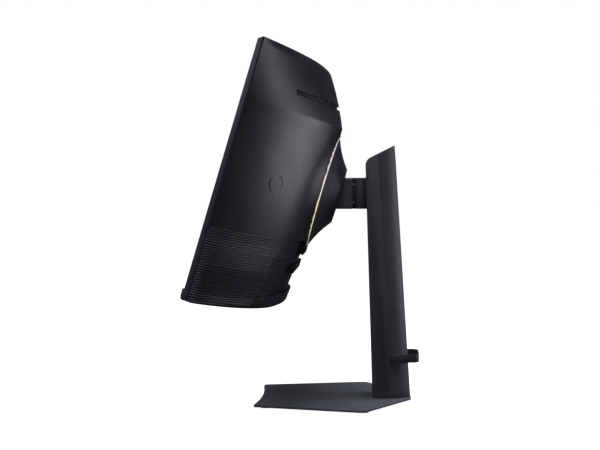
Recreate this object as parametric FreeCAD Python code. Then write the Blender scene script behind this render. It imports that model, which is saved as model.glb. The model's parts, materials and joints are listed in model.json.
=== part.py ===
"""Curved desk monitor on a height-adjustable stand, one solid group per sub-part, in millimetres.

Row frame: +Z up, the screen faces -Y, and the origin lies on the desk under the vertical swivel axis.
Head frame: x across, y back from the chord of the screen's side edges, z up from the screen's middle.
Everything on the head is drawn upright in the head frame, then leaned back about the tilt pin's axis.
"""
import FreeCAD, Part
import math
import os

# ---------------------------------------------------------------- display head
SCREEN_RADIUS = 1000.0      # the curve of the screen
HEAD_WIDTH = 709.0
HEAD_HEIGHT = 427.0
HEAD_LEAN = 16.6            # degrees back from upright at rest
FRAME_DEPTH = 7.0           # the pale strip round the panel
FRAME_LIP = 2.0             # its width seen from the front
FRAME_BEVEL = 5.0           # height of the bevel on its top front edge
CHIN_HEIGHT = 18.0
CHIN_PROUD = 2.6            # the chin stands this far in front of the screen
CHIN_BEVEL = 5.6
PANEL_BACKSET = 0.6         # the glass sits this far behind the frame's front
GLASS = 1.6
SHEETS = 1.0
DIFFUSER = 2.0
LED_GAP = 1.4               # air between the diffuser and the light bars' tray
TRAY = 1.0
LED_ROWS = 8
LED_BAR_THICK = 0.8
LED_BAR_HALF = 4.0          # half height of one bar
LED_BAR_SIDE = 20.0         # each bar stops this far inside the panel's opening
TRAY_FOOT = 4.0             # the tray's margins inside the opening: below, above and at the sides
TRAY_EDGE = 1.0
TRAY_SIDE = 1.5
DRIVER_GAP = 3.0            # the panel's own board, behind the tray
DRIVER_RISE = 4.0
DRIVER_HEIGHT = 22.0
DRIVER_HALF = 159.5
SHELL_WALL = 2.5
SHELL_SIDE = 2.5            # depth of the shell's flat rim at the screen's sides
SHELL_DEPTH = 87.06         # the shell's rear, behind the middle of the screen
# points of the rear outline: forward of the rear, and in from the top or bottom edge
SLOPE_START = (0.0, 97.9)
SLOPE_MID = (20.4, 55.5)
SLOPE_TOP = (48.0, 10.0)
SLOPE_THICKEN = 1.1         # the slanting walls, measured level, over the wall's own thickness
TOP_CORNER = (57.0, 4.1)
TOP_EDGE = (73.0, 0.0)
LOWER_END = (9.5, 11.5)
BOTTOM_CORNER = (13.0, 3.2)
BOTTOM_EDGE = (24.0, 0.0)
VENT_DROP = 61.0            # the vent slot's upper side, down from the top edge
VENT_HEIGHT = 7.0
VENT_END = 98.5             # the slot stops this far from each side
VENT_DEPTH = 7.0
GRILLE_PITCH = 5.0
GRILLE_GAP = 2.0            # width of each opening in the grille

# scoop in the lower cover, with the ports
SCOOP_TOP_HALF = 165.0
SCOOP_LOW_HALF = 215.0
SCOOP_SIDE_RISE = 14.5      # its lower corners, up from the bottom edge
SCOOP_MID_RISE = 29.5       # its lower edge in the middle
SCOOP_TOP_SET = 5.7         # its floor, forward of the rear, at the split
SCOOP_LOW_SET = 15.8        # and at its lower corners
PORT_HALF_WIDTH = 88.0
PORT_DROP = 44.0            # the port bay's upper side, down from the split
PORT_HEIGHT = 15.0
PORT_SET = 7.0              # its rim, forward of the rear
PORT_RIM = 2.4
PORT_POCKET = 2.7
PORT_THICK = 13.5
SOCKET_DEPTH = 13.0
SOCKET_WALL = 2.0           # a socket's closed back
TONGUE_SET = 1.0            # its tongue, in from the mouth
# across, then the radius of the outside, of the bore and of the pin
ROUND_SOCKETS = {"power": (-76.0, 5.4, 3.2, 1.2), "jack": (72.0, 3.6, 1.8, 0.0)}
HDMI = (16.0, 7.0, (14.2, 5.0), (11.0, 1.3))   # width, height, cavity and tongue
DISPLAY = (18.0, 7.0, (16.1, 5.0), (12.5, 1.3))
USB_A = (14.6, 7.4, (12.6, 5.2), (10.6, 1.9))
USB_B = (12.4, 11.2, (8.6, 7.9), (5.8, 3.4))
HDMI_X = (-54.0, -32.0)
DISPLAY_X = -8.0
USB_B_X = 14.0
USB_A_X = (32.0, 52.0)
BOARD = 1.6                 # thickness of every circuit board
MAIN_BOARD = ((-82.0, 82.0), -30.0)            # across, and its upper edge
BACKLIGHT_BOARD = ((-120.0, -20.0), (20.0, 90.0))
BRACKET_HALF_WIDTH = 130.0
BRACKET_TOP = 100.0
BRACKET_GAP = 14.0          # behind the tray
BRACKET_SHEET = 1.2
BRACKET_LEG = 4.0           # half width of a leg
BRACKET_LEGS = [(-80.0, -120.0), (80.0, -120.0), (-80.0, -40.0), (80.0, -40.0)]
BACKLIGHT_LEG = (-100.0, 64.0)
HOOD_HALF_WIDTH = 50.0
HOOD_HEIGHT = 26.4
HOOD_SET = 1.0
HOOD_DEPTH = 6.0            # its root, in front of the scoop's floor

# badge near the side of the back
BADGE_IN = 99.5             # its middle, in from the side edge
BADGE_Z = -2.0
BADGE_HALF = (17.0, 15.0)
BADGE_LINE = 1.6
BADGE_PROUD = 0.5

# hub on the back, with the light ring
RING_PROUD = 0.5            # the light ring's lens, behind the shell's rear
RING_OUTER = 101.5
RING_INNER = 97.5
RING_THICK = 2.5
RING_SEAT_FOOT = 124.0      # the shell rises to the ring in a cone this wide at its foot
RING_SEAT_HEIGHT = 13.0
HUB_WALL = 2.5
HUB_FOOT_WALL = 2.0         # its wall where it meets the light ring
HUB_FOOT_RISE = 1.0         # the flare starts this far behind the lens
HUB_WAIST = (72.0, 12.9)    # radius, and rise behind the lens, half way along the flare
HUB_FACE_RADIUS = 49.5
HUB_FACE_RISE = 28.5
DISH_SINK = 6.5             # the shell's recessed floor, in front of the lens
SPLIT_RISE = 11.5           # the shell meets the lower cover this far above the ring's lowest point
VESA = 100.0                # square of the panel's mounting screws
MOUNT_PLATE = 3.5
PLATE_HALF = (62.0, 60.0)
PLATE_RADIUS = 82.0
POST_RADIUS = 5.0
POST_BORE = 12.0            # depth of the threaded hole in each post
RING_BOARD_INNER = 84.0
SHELL_SCREWS = (70.0, 32.0)
HUB_WINDOW_GAP = 1.5        # beside the arm
HUB_WINDOW_LOW = 3.2        # under the arm
HUB_WINDOW_TILT = 20.0      # the window clears the arm at this much backward tilt

# tilt hinge
PIVOT_RISE = 10.5           # behind the lens, at the screen's mid height
PIVOT_Y = -55.5             # in the row frame
TILT_PIN_RADIUS = 4.0
TILT_BUSH_WALL = 2.0
WASHER_RADIUS = 9.5
WASHER_THICK = 2.5
EAR_THICK = 4.0
EAR_RADIUS = 10.0
NUT_THICK = 4.5
NUT_RADIUS = 7.0

# ---------------------------------------------------------------- arm and swivel
ARM_HEIGHT = 55.0
ARM_HALF_WIDTH = 24.0
ARM_Z = 370.4               # middle of the arm at the top of the lift
ARM_ROUND = 3.0
KNUCKLE_RADIUS = 12.0       # the arm's front end, round the tilt pin
KNUCKLE_REACH = 10.0        # the arm's full height starts this far behind the tilt pin
BARREL_RADIUS = 13.6
BARREL_BORE = 10.4
BARREL_END = 11.0           # solid length at each end of the barrel
SEAM = 0.3                  # gap between the barrel and the arm's flat end
EYE_RADIUS = 9.8
TONGUE_HALF_WIDTH = 4.0
TONGUE_GAP = 0.5            # over and under the eye
SWIVEL_WINDOW = 8.0         # half width of the barrel's front window
SWIVEL_PIN_RADIUS = 5.0
SWIVEL_BUSH_WALL = 2.0
WEB_HALF_WIDTH = 9.0

# ---------------------------------------------------------------- column and lift
LIFT_TRAVEL = 120.0
COLUMN_HALF_WIDTH = 38.0
COLUMN_WALL = 2.5
COLUMN_FOOT = 8.0           # the base plate's top
# height, front and rear of the column's side outline; the last two heights are over the rail's end
COLUMN_SIDE = [(8.0, 24.0, 89.6), (20.0, 21.6, 88.9), (117.0, 18.5, 82.5)]
COLUMN_UPPER_SIDE = [(19.0, 9.0, 63.0), (70.0, 7.4, 59.4)]
# depth, and height over the rail's end, along the slanted top
CAP_FRONT = (8.9, 20.0)
CAP_ROUND = (11.2, 28.2)
CAP_NOSE = (19.0, 35.0)
CAP_REAR = (60.3, 56.0)
COLUMN_REACH = 120.0        # beyond the column's rear at any height
FRONT_COVER = 2.5
FRONT_COVER_BACKSET = 0.6
FRONT_COVER_GAP = 0.2
SLOT_HALF_WIDTH = 10.5
SLOT_SPARE = 3.0            # the slot runs on this far below the arm's lowest place
FOOT_BLOCK_TOP = 34.0
RAIL_HALF_WIDTH = 9.0
RAIL_FRONT = 36.5
RAIL_BACK = 44.0
RAIL_SPARE = 0.1            # the rail's end over the carriage at the top of the lift
CARRIAGE_HALF_WIDTH = 24.0
CARRIAGE_FRONT = 19.5
CARRIAGE_BACK = 46.0
CARRIAGE_SPARE = 2.0        # the carriage is this much taller than the arm at each end
PAD_THICK = 1.2
PAD_HEIGHT = 12.0
PAD_END = 2.0               # in from the carriage's end
SLIDE_GAP = 0.15
DRUM_RADIUS = 17.0
DRUM_HALF_WIDTH = 15.5
DRUM_Y = 38.0
DRUM_RISE = 20.0            # the drum's axle over the rail's end
DRUM_AXLE = 3.0
CASSETTE_HALF_WIDTH = 19.0
CASSETTE_WALL = 2.0
CASSETTE_DEPTH = (14.5, 13.0)   # in front of and behind the axle
CASSETTE_RISE = 8.0         # the cheeks end this far over the axle
DRUM_FLANGE = 1.5           # height of the drum's flanges over the ribbon's groove
DRUM_SIDE_GAP = 0.5         # between the ribbon and each flange
RIBBON = 0.3
RIBBON_HALF_WIDTH = 12.0
RAIL_HEEL = (16.0, 22.0, 3.0)   # half width, length and thickness of the rail's foot
RAIL_BOLT = (9.0, 9.0)      # across, and behind the rail

# ---------------------------------------------------------------- cable clip and base
CLIP_LOW = 72.4
CLIP_HIGH = 86.8
CLIP_WALL = 2.5
CLIP_START = 52.0
CLIP_BACK = 104.5
CLIP_CORNER = 13.0          # outer radius of the loop's two rear corners
CLIP_TAB = (4.0, 7.0)       # length and height of each snap tab
CLIP_HOOK = 2.0             # how far a tab reaches inside the column's wall
BASE_FRONT = (111.0, -183.5)
BASE_FRONT_MID = -176.0
BASE_KINK = (159.5, 9.4)
BASE_REAR = (17.0, 90.6)
BASE_THICK = 5.0
BASE_BEVEL = 2.2
BASE_CORNER = 7.0
BASE_KINK_ROUND = 14.0
FOOT_THICK = 3.0
FOOT_RADIUS = 9.0
FEET = [(95.0, -163.0), (-95.0, -163.0), (132.0, 8.0), (-132.0, 8.0), (0.0, 80.0), (0.0, 0.0)]
THUMBSCREW = (11.0, 3.0)    # head and thread radius
SCREW = (3.8, 2.0)
SCREW_HEAD = 2.2            # height of a screw's head
SHELL_SCREW_LENGTH = 8.0
RAIL_BOLT_LENGTH = 12.0
FOOT_SCREW_LENGTH = 18.0
THUMBSCREW_LENGTH = 20.0
HEAD_SINK = 0.8             # screw heads stop this far over the desk
FOOT_SCREWS = [(22.0, 40.0), (-22.0, 40.0), (14.0, 72.0), (-14.0, 72.0)]

# ---------------------------------------------------------------- jog button under the chin
JOG_SET = 52.0              # forward of the shell's rear
JOG_HOLE = 6.5
JOG_CAP_RADIUS = 5.8
JOG_PLUNGER = 4.9
JOG_PLUNGER_BASE = 2.2      # over the gimbal's axes
JOG_PLUNGER_HEIGHT = 5.8
JOG_HOUSING = (9.0, 11.0)   # half width and height
JOG_HOUSING_BORE = 10.5
JOG_HOUSING_MOUTH = 4.6     # depth of the wide part of its bore
JOG_YOKE = (4.9, 5.9)       # inner and outer face of the yoke's cheeks
JOG_YOKE_HALF = 1.2
JOG_YOKE_BAR = 0.8
JOG_YOKE_DROP = 0.9
JOG_RING = (4.5, 3.3, 1.1)  # outer and inner radius, half height
JOG_RING_PINS = (4.2, 5.8)
JOG_CAP_DROP = 3.4
JOG_CAP_HEIGHT = 2.9
JOG_NECK = (2.8, 1.0, 2.0)  # radius, and how far it runs below and above the cover and gimbal
JOG_CROSS_PIN = 4.3         # half length
LED_X = 25.0                # the status light, across
LED_RADIUS = 1.2
LED_LENGTH = 6.0
JOG_PIVOT_RISE = 1.75       # the gimbal's axes lie this far above the cover's underside
JOG_PIN = 0.6

RUNNING = 0.05              # radial clearance of a shaft in its bore
CLEAR = 0.2                 # gap between fixed pieces that pass through each other

# ---------------------------------------------------------------- worked out from the above
HALF_W = HEAD_WIDTH / 2
HALF_H = HEAD_HEIGHT / 2
SAG = SCREEN_RADIUS - math.sqrt(SCREEN_RADIUS ** 2 - HALF_W ** 2)
HEAD_DEPTH = SAG + SHELL_DEPTH  # the shell's rear, behind the chord of the side edges
RING_DEPTH = HEAD_DEPTH + RING_PROUD
HUB_FOOT_DEPTH = RING_DEPTH + HUB_FOOT_RISE
HUB_FACE_DEPTH = RING_DEPTH + HUB_FACE_RISE
DISH_FLOOR = RING_DEPTH - DISH_SINK
PIVOT_DEPTH = RING_DEPTH + PIVOT_RISE
SPLIT_HEIGHT = SPLIT_RISE - RING_OUTER
VENT_HIGH = HALF_H - VENT_DROP
VENT_LOW = VENT_HIGH - VENT_HEIGHT
SCOOP_LOW_SIDE = SCOOP_SIDE_RISE - HALF_H
SCOOP_DEPTH_TOP = HEAD_DEPTH - SCOOP_TOP_SET
SCOOP_DEPTH_LOW = HEAD_DEPTH - SCOOP_LOW_SET
PORT_HIGH = SPLIT_HEIGHT - PORT_DROP
PORT_LOW = PORT_HIGH - PORT_HEIGHT
PORT_PROUD = HEAD_DEPTH - PORT_SET
PANEL_BACK = PANEL_BACKSET + GLASS + SHEETS + DIFFUSER
TRAY_FRONT = PANEL_BACK + LED_GAP
ARM_LOW = ARM_Z - ARM_HEIGHT / 2
ARM_HIGH = ARM_Z + ARM_HEIGHT / 2
ARM_BACK = -(BARREL_RADIUS + SEAM)
CARRIAGE_LOW = ARM_LOW - CARRIAGE_SPARE
CARRIAGE_HIGH = ARM_HIGH + CARRIAGE_SPARE
RAIL_TOP = CARRIAGE_HIGH + RAIL_SPARE
DRUM_Z = RAIL_TOP + DRUM_RISE
JOG_Y = HEAD_DEPTH - JOG_SET
BOARD_FACE = PORT_PROUD - PORT_POCKET - SOCKET_DEPTH
X, Y, Z = (FreeCAD.Vector(1, 0, 0), FreeCAD.Vector(0, 1, 0), FreeCAD.Vector(0, 0, 1))
parts = {}


def vec(x, y, z):
    return FreeCAD.Vector(x, y, z)


def block(x, y, z):
    """Box from its low and high limits along each axis."""
    return Part.makeBox(x[1] - x[0], y[1] - y[0], z[1] - z[0], vec(x[0], y[0], z[0]))


def rod(radius, start, length, axis):
    return Part.makeCylinder(radius, length, vec(*start), axis)


def tube(outer, inner, start, length, axis):
    return rod(outer, start, length, axis).cut(rod(inner, start, length, axis))


def screw(head, thread, seat, head_height, length, axis):
    """Screw whose thread leaves its seat along axis, with the head on the other side."""
    top = vec(*seat) - axis * head_height
    return Part.makeCylinder(head, head_height, top, axis).fuse(rod(thread, seat, length, axis))


def prism(points, along):
    """Flat outline of points, pushed along a vector."""
    corners = [vec(*p) for p in points]
    return Part.Face(Part.makePolygon(corners + corners[:1])).extrude(along)


def arc_points(start, middle, end, count):
    """Points along the arc through three (a, b) points, both ends included."""
    curve = Part.Arc(vec(*start, 0), vec(*middle, 0), vec(*end, 0))
    low, high = curve.FirstParameter, curve.LastParameter
    spots = [curve.value(low + (high - low) * i / count) for i in range(count + 1)]
    return [(p.x, p.y) for p in spots]


def lean(shape):
    """Head frame to row frame: leaned back, with the tilt pin on its axis over the desk."""
    placed = shape.copy()
    placed.translate(vec(0, -PIVOT_DEPTH, 0))
    placed.rotate(vec(0, 0, 0), X, -HEAD_LEAN)
    placed.translate(vec(0, PIVOT_Y, ARM_Z))
    return placed


def group(solids):
    return Part.makeCompound(solids)


# ---------------------------------------------------------------- shapes that follow the screen
def band(outline, half_width):
    """Solid that follows the screen's curve: (depth behind the screen, height) outline, trimmed in width."""
    centre = vec(0, SAG - SCREEN_RADIUS, 0)
    corners = [vec(0, SAG + depth, height) for depth, height in outline]
    face = Part.Face(Part.makePolygon(corners + corners[:1]))
    sweep = math.degrees(math.asin(half_width / SCREEN_RADIUS)) + 2
    face.rotate(centre, Z, -sweep)
    trim = block((-half_width, half_width), (-SCREEN_RADIUS, HEAD_DEPTH), (-HEAD_HEIGHT, HEAD_HEIGHT))
    return face.revolve(centre, Z, 2 * sweep).common(trim)


def plate_band(front, back, low, high, half_width):
    return band([(front, low), (back, low), (back, high), (front, high)], half_width)


def screen_depth(x, behind=0.0):
    """Depth of the surface that lies a set distance behind the screen's, at x across."""
    return SAG - SCREEN_RADIUS + math.sqrt((SCREEN_RADIUS + behind) ** 2 - x ** 2)


def casing(stations, inset):
    """Solid between the frame's back and the rear arc; stations are (rear depth in the middle, height)."""
    width = HALF_W - inset
    front = screen_depth(width, FRAME_DEPTH - inset)
    rear = front + SHELL_SIDE + inset / 2
    wires = []
    for depth, height in stations:
        middle = vec(0, depth - inset * SLOPE_THICKEN, height)
        start = Part.Arc(vec(-width, front, height), vec(0, SAG + FRAME_DEPTH - inset, height),
                         vec(width, front, height)).toShape()
        end = Part.Arc(vec(width, rear, height), middle, vec(-width, rear, height)).toShape()
        side = Part.makeLine(vec(width, front, height), vec(width, rear, height))
        other = Part.makeLine(vec(-width, rear, height), vec(-width, front, height))
        wires.append(Part.Wire([start, side, end, other]))
    return Part.makeLoft(wires, True, True)


def upper_stations(inset):
    """Rear outline of the smooth shell, split to top edge; the space inside runs on under the hub."""
    slope = arc_points(SLOPE_START, SLOPE_MID, SLOPE_TOP, 5)
    corner = arc_points(SLOPE_TOP, TOP_CORNER, TOP_EDGE, 3)
    start = SPLIT_HEIGHT - (RING_OUTER if inset else 0)
    return [(HEAD_DEPTH, start)] + [(HEAD_DEPTH - a, HALF_H - b - inset) for a, b in slope + corner[1:]]


def lower_stations(inset):
    corner = arc_points(LOWER_END, BOTTOM_CORNER, BOTTOM_EDGE, 4)
    return [(HEAD_DEPTH, SPLIT_HEIGHT + inset)] + [(HEAD_DEPTH - a, b + inset - HALF_H) for a, b in corner]


def scoop_floor(inset):
    """Everything in front of the scoop's floor."""
    fall = (SCOOP_DEPTH_TOP - SCOOP_DEPTH_LOW) / (SPLIT_HEIGHT - SCOOP_LOW_SIDE)
    low = SCOOP_LOW_SIDE - SHELL_WALL * 3
    stations = [(SCOOP_DEPTH_TOP + fall * SHELL_WALL, SPLIT_HEIGHT + SHELL_WALL),
                (SCOOP_DEPTH_TOP + fall * (low - SPLIT_HEIGHT), low)]
    return casing(stations, inset)


def scoop(grow):
    """The scoop's space behind its floor, its sides moved out by grow."""
    top = SPLIT_HEIGHT + SHELL_WALL
    floor = Part.makeLine(vec(SCOOP_TOP_HALF + grow, 0, top), vec(-SCOOP_TOP_HALF - grow, 0, top))
    left = Part.makeLine(floor.Vertexes[1].Point, vec(-SCOOP_LOW_HALF - grow, 0, SCOOP_LOW_SIDE - grow))
    sill = Part.Arc(vec(-SCOOP_LOW_HALF - grow, 0, SCOOP_LOW_SIDE - grow),
                    vec(0, 0, SCOOP_MID_RISE - HALF_H - grow),
                    vec(SCOOP_LOW_HALF + grow, 0, SCOOP_LOW_SIDE - grow)).toShape()
    right = Part.makeLine(vec(SCOOP_LOW_HALF + grow, 0, SCOOP_LOW_SIDE - grow), floor.Vertexes[0].Point)
    space = Part.Face(Part.Wire([floor, left, sill, right])).extrude(Y * (HEAD_DEPTH + HUB_WALL))
    return space.cut(scoop_floor(grow))


# ---------------------------------------------------------------- panel and its frame
def make_panel():
    inner = HALF_W - FRAME_LIP
    low = -HALF_H + CHIN_HEIGHT
    high = HALF_H - FRAME_BEVEL - FRAME_LIP
    strip = band([(0, low), (0, HALF_H - FRAME_BEVEL), (FRAME_DEPTH - CLEAR, HALF_H),
                  (FRAME_DEPTH - CLEAR, -HALF_H), (FRAME_DEPTH / 2, -HALF_H), (FRAME_DEPTH / 2, low)], HALF_W)
    opening = plate_band(-1, FRAME_DEPTH + 1, low, high, inner)
    parts["middle_frame"] = lean(strip.cut(opening).cut(plate_band(
        FRAME_DEPTH / 2, FRAME_DEPTH + 1, -HALF_H + FRAME_LIP, low + 1, inner)))
    chin = band([(-CHIN_PROUD, low), (FRAME_DEPTH / 2 - CLEAR, low), (FRAME_DEPTH / 2 - CLEAR, -HALF_H),
                 (CHIN_PROUD / 2, -HALF_H), (-CHIN_PROUD / 2, -HALF_H + CHIN_BEVEL / 4),
                 (-CHIN_PROUD, -HALF_H + CHIN_BEVEL)], HALF_W)
    pipe = rod(LED_RADIUS, (LED_X, screen_depth(LED_X) + LED_RADIUS, -HALF_H - CLEAR), LED_LENGTH, Z)
    parts["chin_bezel"] = lean(chin.cut(pipe))
    parts["status_led"] = lean(pipe)
    fit = CLEAR
    depth = PANEL_BACKSET
    for name, thick, cut in (("lcd_panel", GLASS, 0.0), ("optical_sheets", SHEETS, 1.5),
                             ("diffuser_plate", DIFFUSER, 1.5)):
        sheet = plate_band(depth, depth + thick, low + fit + cut, high - fit - cut, inner - fit - cut)
        parts[name] = lean(sheet)
        depth += thick
    tray_low = low + TRAY_FOOT
    tray_high = high - TRAY_EDGE
    tray = plate_band(TRAY_FRONT, TRAY_FRONT + TRAY, tray_low, tray_high, inner - TRAY_SIDE)
    step = (tray_high - tray_low) / LED_ROWS
    bars = []
    for row in range(LED_ROWS):
        height = tray_low + step * (row + 1 / 2)
        bars.append(plate_band(TRAY_FRONT - LED_BAR_THICK, TRAY_FRONT, height - LED_BAR_HALF,
                               height + LED_BAR_HALF, inner - LED_BAR_SIDE))
    parts["led_bars"] = lean(group(bars))
    parts["back_tray"] = lean(tray)
    face = TRAY_FRONT + TRAY + DRIVER_GAP
    parts["panel_driver_board"] = lean(plate_band(
        face, face + BOARD, tray_low + DRIVER_RISE, tray_low + DRIVER_RISE + DRIVER_HEIGHT, DRIVER_HALF))


# ---------------------------------------------------------------- rear casing
def make_casing():
    outer = casing(upper_stations(0), 0)
    seat_top = RING_DEPTH - RING_THICK
    outer = outer.fuse(Part.makeCone(RING_SEAT_FOOT, RING_OUTER, RING_SEAT_HEIGHT,
                                     vec(0, seat_top - RING_SEAT_HEIGHT, 0), Y))
    inside = casing(upper_stations(SHELL_WALL), SHELL_WALL)
    under_dish = rod(RING_INNER - CLEAR, (0, SAG, 0), DISH_FLOOR - SHELL_WALL - SAG, Y)
    under_seat = Part.makeCone(RING_SEAT_FOOT, RING_OUTER, RING_SEAT_HEIGHT,
                               vec(0, seat_top - RING_SEAT_HEIGHT - SHELL_WALL * 1.2, 0), Y)
    dish = rod(RING_INNER - CLEAR, (0, DISH_FLOOR, 0), HEAD_DEPTH, Y)
    split = block((-HALF_W, HALF_W), (-1, HUB_FACE_DEPTH), (-HEAD_HEIGHT, SPLIT_HEIGHT))
    skirt = rod(RING_OUTER + CLEAR, (0, SAG, 0), HUB_FACE_DEPTH, Y)
    slot = vent_slot(0, VENT_DEPTH)
    lens_seat = rod(RING_OUTER + CLEAR, (0, RING_DEPTH - RING_THICK, 0), HEAD_DEPTH, Y)
    shell = outer.cut(inside).cut(under_seat).cut(under_dish).cut(dish).cut(slot).cut(lens_seat)
    for x, z in mount_spots():
        shell = shell.cut(rod(SCREW[1] + CLEAR, (x, SAG, z), HEAD_DEPTH, Y))
    for x, z in shell_screw_spots():
        shell = shell.cut(rod(SCREW[1], (x, SAG, z), HEAD_DEPTH, Y))
    keep_disc = rod(RING_OUTER, (0, SAG, 0), HEAD_DEPTH, Y)
    parts["rear_shell"] = lean(shell.cut(split.cut(keep_disc)))
    grille = vent_slot(1.5, VENT_DEPTH).common(inside)
    count = int((HALF_W - VENT_END) / GRILLE_PITCH) - 1
    half = GRILLE_GAP / 2
    rise = (VENT_LOW + half, VENT_HIGH - half)
    middles = [i * GRILLE_PITCH for i in range(-count, count + 1)]
    ribs = [block((x - half, x + half), (0, HEAD_DEPTH), rise) for x in middles]
    parts["vent_grille"] = lean(grille.cut(group(ribs)))

    cover = casing(lower_stations(0), 0).cut(scoop(0))
    hollow = casing(lower_stations(SHELL_WALL), SHELL_WALL).cut(scoop(SHELL_WALL))
    open_top = casing([(HEAD_DEPTH, SPLIT_HEIGHT + 1), (HEAD_DEPTH, SPLIT_HEIGHT - SHELL_WALL * 2)], SHELL_WALL)
    hollow = hollow.fuse(open_top.cut(scoop(SHELL_WALL)))
    cover = cover.cut(hollow).cut(skirt)
    window = block((-PORT_HALF_WIDTH, PORT_HALF_WIDTH), (SAG, HUB_FACE_DEPTH), (PORT_LOW, PORT_HIGH))
    jog_hole = rod(JOG_HOLE, (0, JOG_Y, -HALF_H - 1), SHELL_WALL * 2, Z)
    parts["lower_rear_cover"] = lean(cover.cut(window).cut(jog_hole))

    hood = block((-HOOD_HALF_WIDTH, HOOD_HALF_WIDTH), (SCOOP_DEPTH_TOP - HOOD_DEPTH, HEAD_DEPTH - HOOD_SET),
                 (SPLIT_HEIGHT - HOOD_HEIGHT, SPLIT_HEIGHT - CLEAR))
    hood = hood.cut(scoop_floor(0)).cut(skirt)
    parts["port_hood"] = lean(hood)
    make_badge()


def make_badge():
    """Plain oval ring standing proud of the shell."""
    across, up = BADGE_HALF
    ring = Part.Ellipse(vec(0, 0, 0), across, up).toShape()
    hole = Part.Ellipse(vec(0, 0, 0), across - BADGE_LINE, up - BADGE_LINE).toShape()
    flat = Part.Face(Part.Wire([ring])).cut(Part.Face(Part.Wire([hole])))
    flat.rotate(vec(0, 0, 0), X, -90)
    flat.translate(vec(HALF_W - BADGE_IN, 0, BADGE_Z))
    surface = casing([(HEAD_DEPTH, 2 * BADGE_Z - up * 2), (HEAD_DEPTH, up * 2)], 0)
    raised = surface.copy()
    raised.translate(Y * BADGE_PROUD)
    parts["badge_ring"] = lean(flat.extrude(Y * HEAD_DEPTH).common(raised).cut(surface))


def vent_slot(inset, depth):
    """Horizontal slot that follows the shell's rear arc, cut to a given depth."""
    width = HALF_W - VENT_END - inset
    height = (VENT_LOW + inset / 2, VENT_HIGH - inset / 2)
    curve = casing(upper_stations(0), 0)
    inner = curve.copy()
    inner.translate(vec(0, -depth, 0))
    strip = block((-width, width), (0, HEAD_DEPTH), height)
    return strip.common(curve).cut(inner)


def mount_spots():
    half = VESA / 2
    return [(half, half), (-half, half), (half, -half), (-half, -half)]


def shell_screw_spots():
    across, up = SHELL_SCREWS
    return [(across, up), (-across, up), (across, -up), (-across, -up)]


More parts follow.
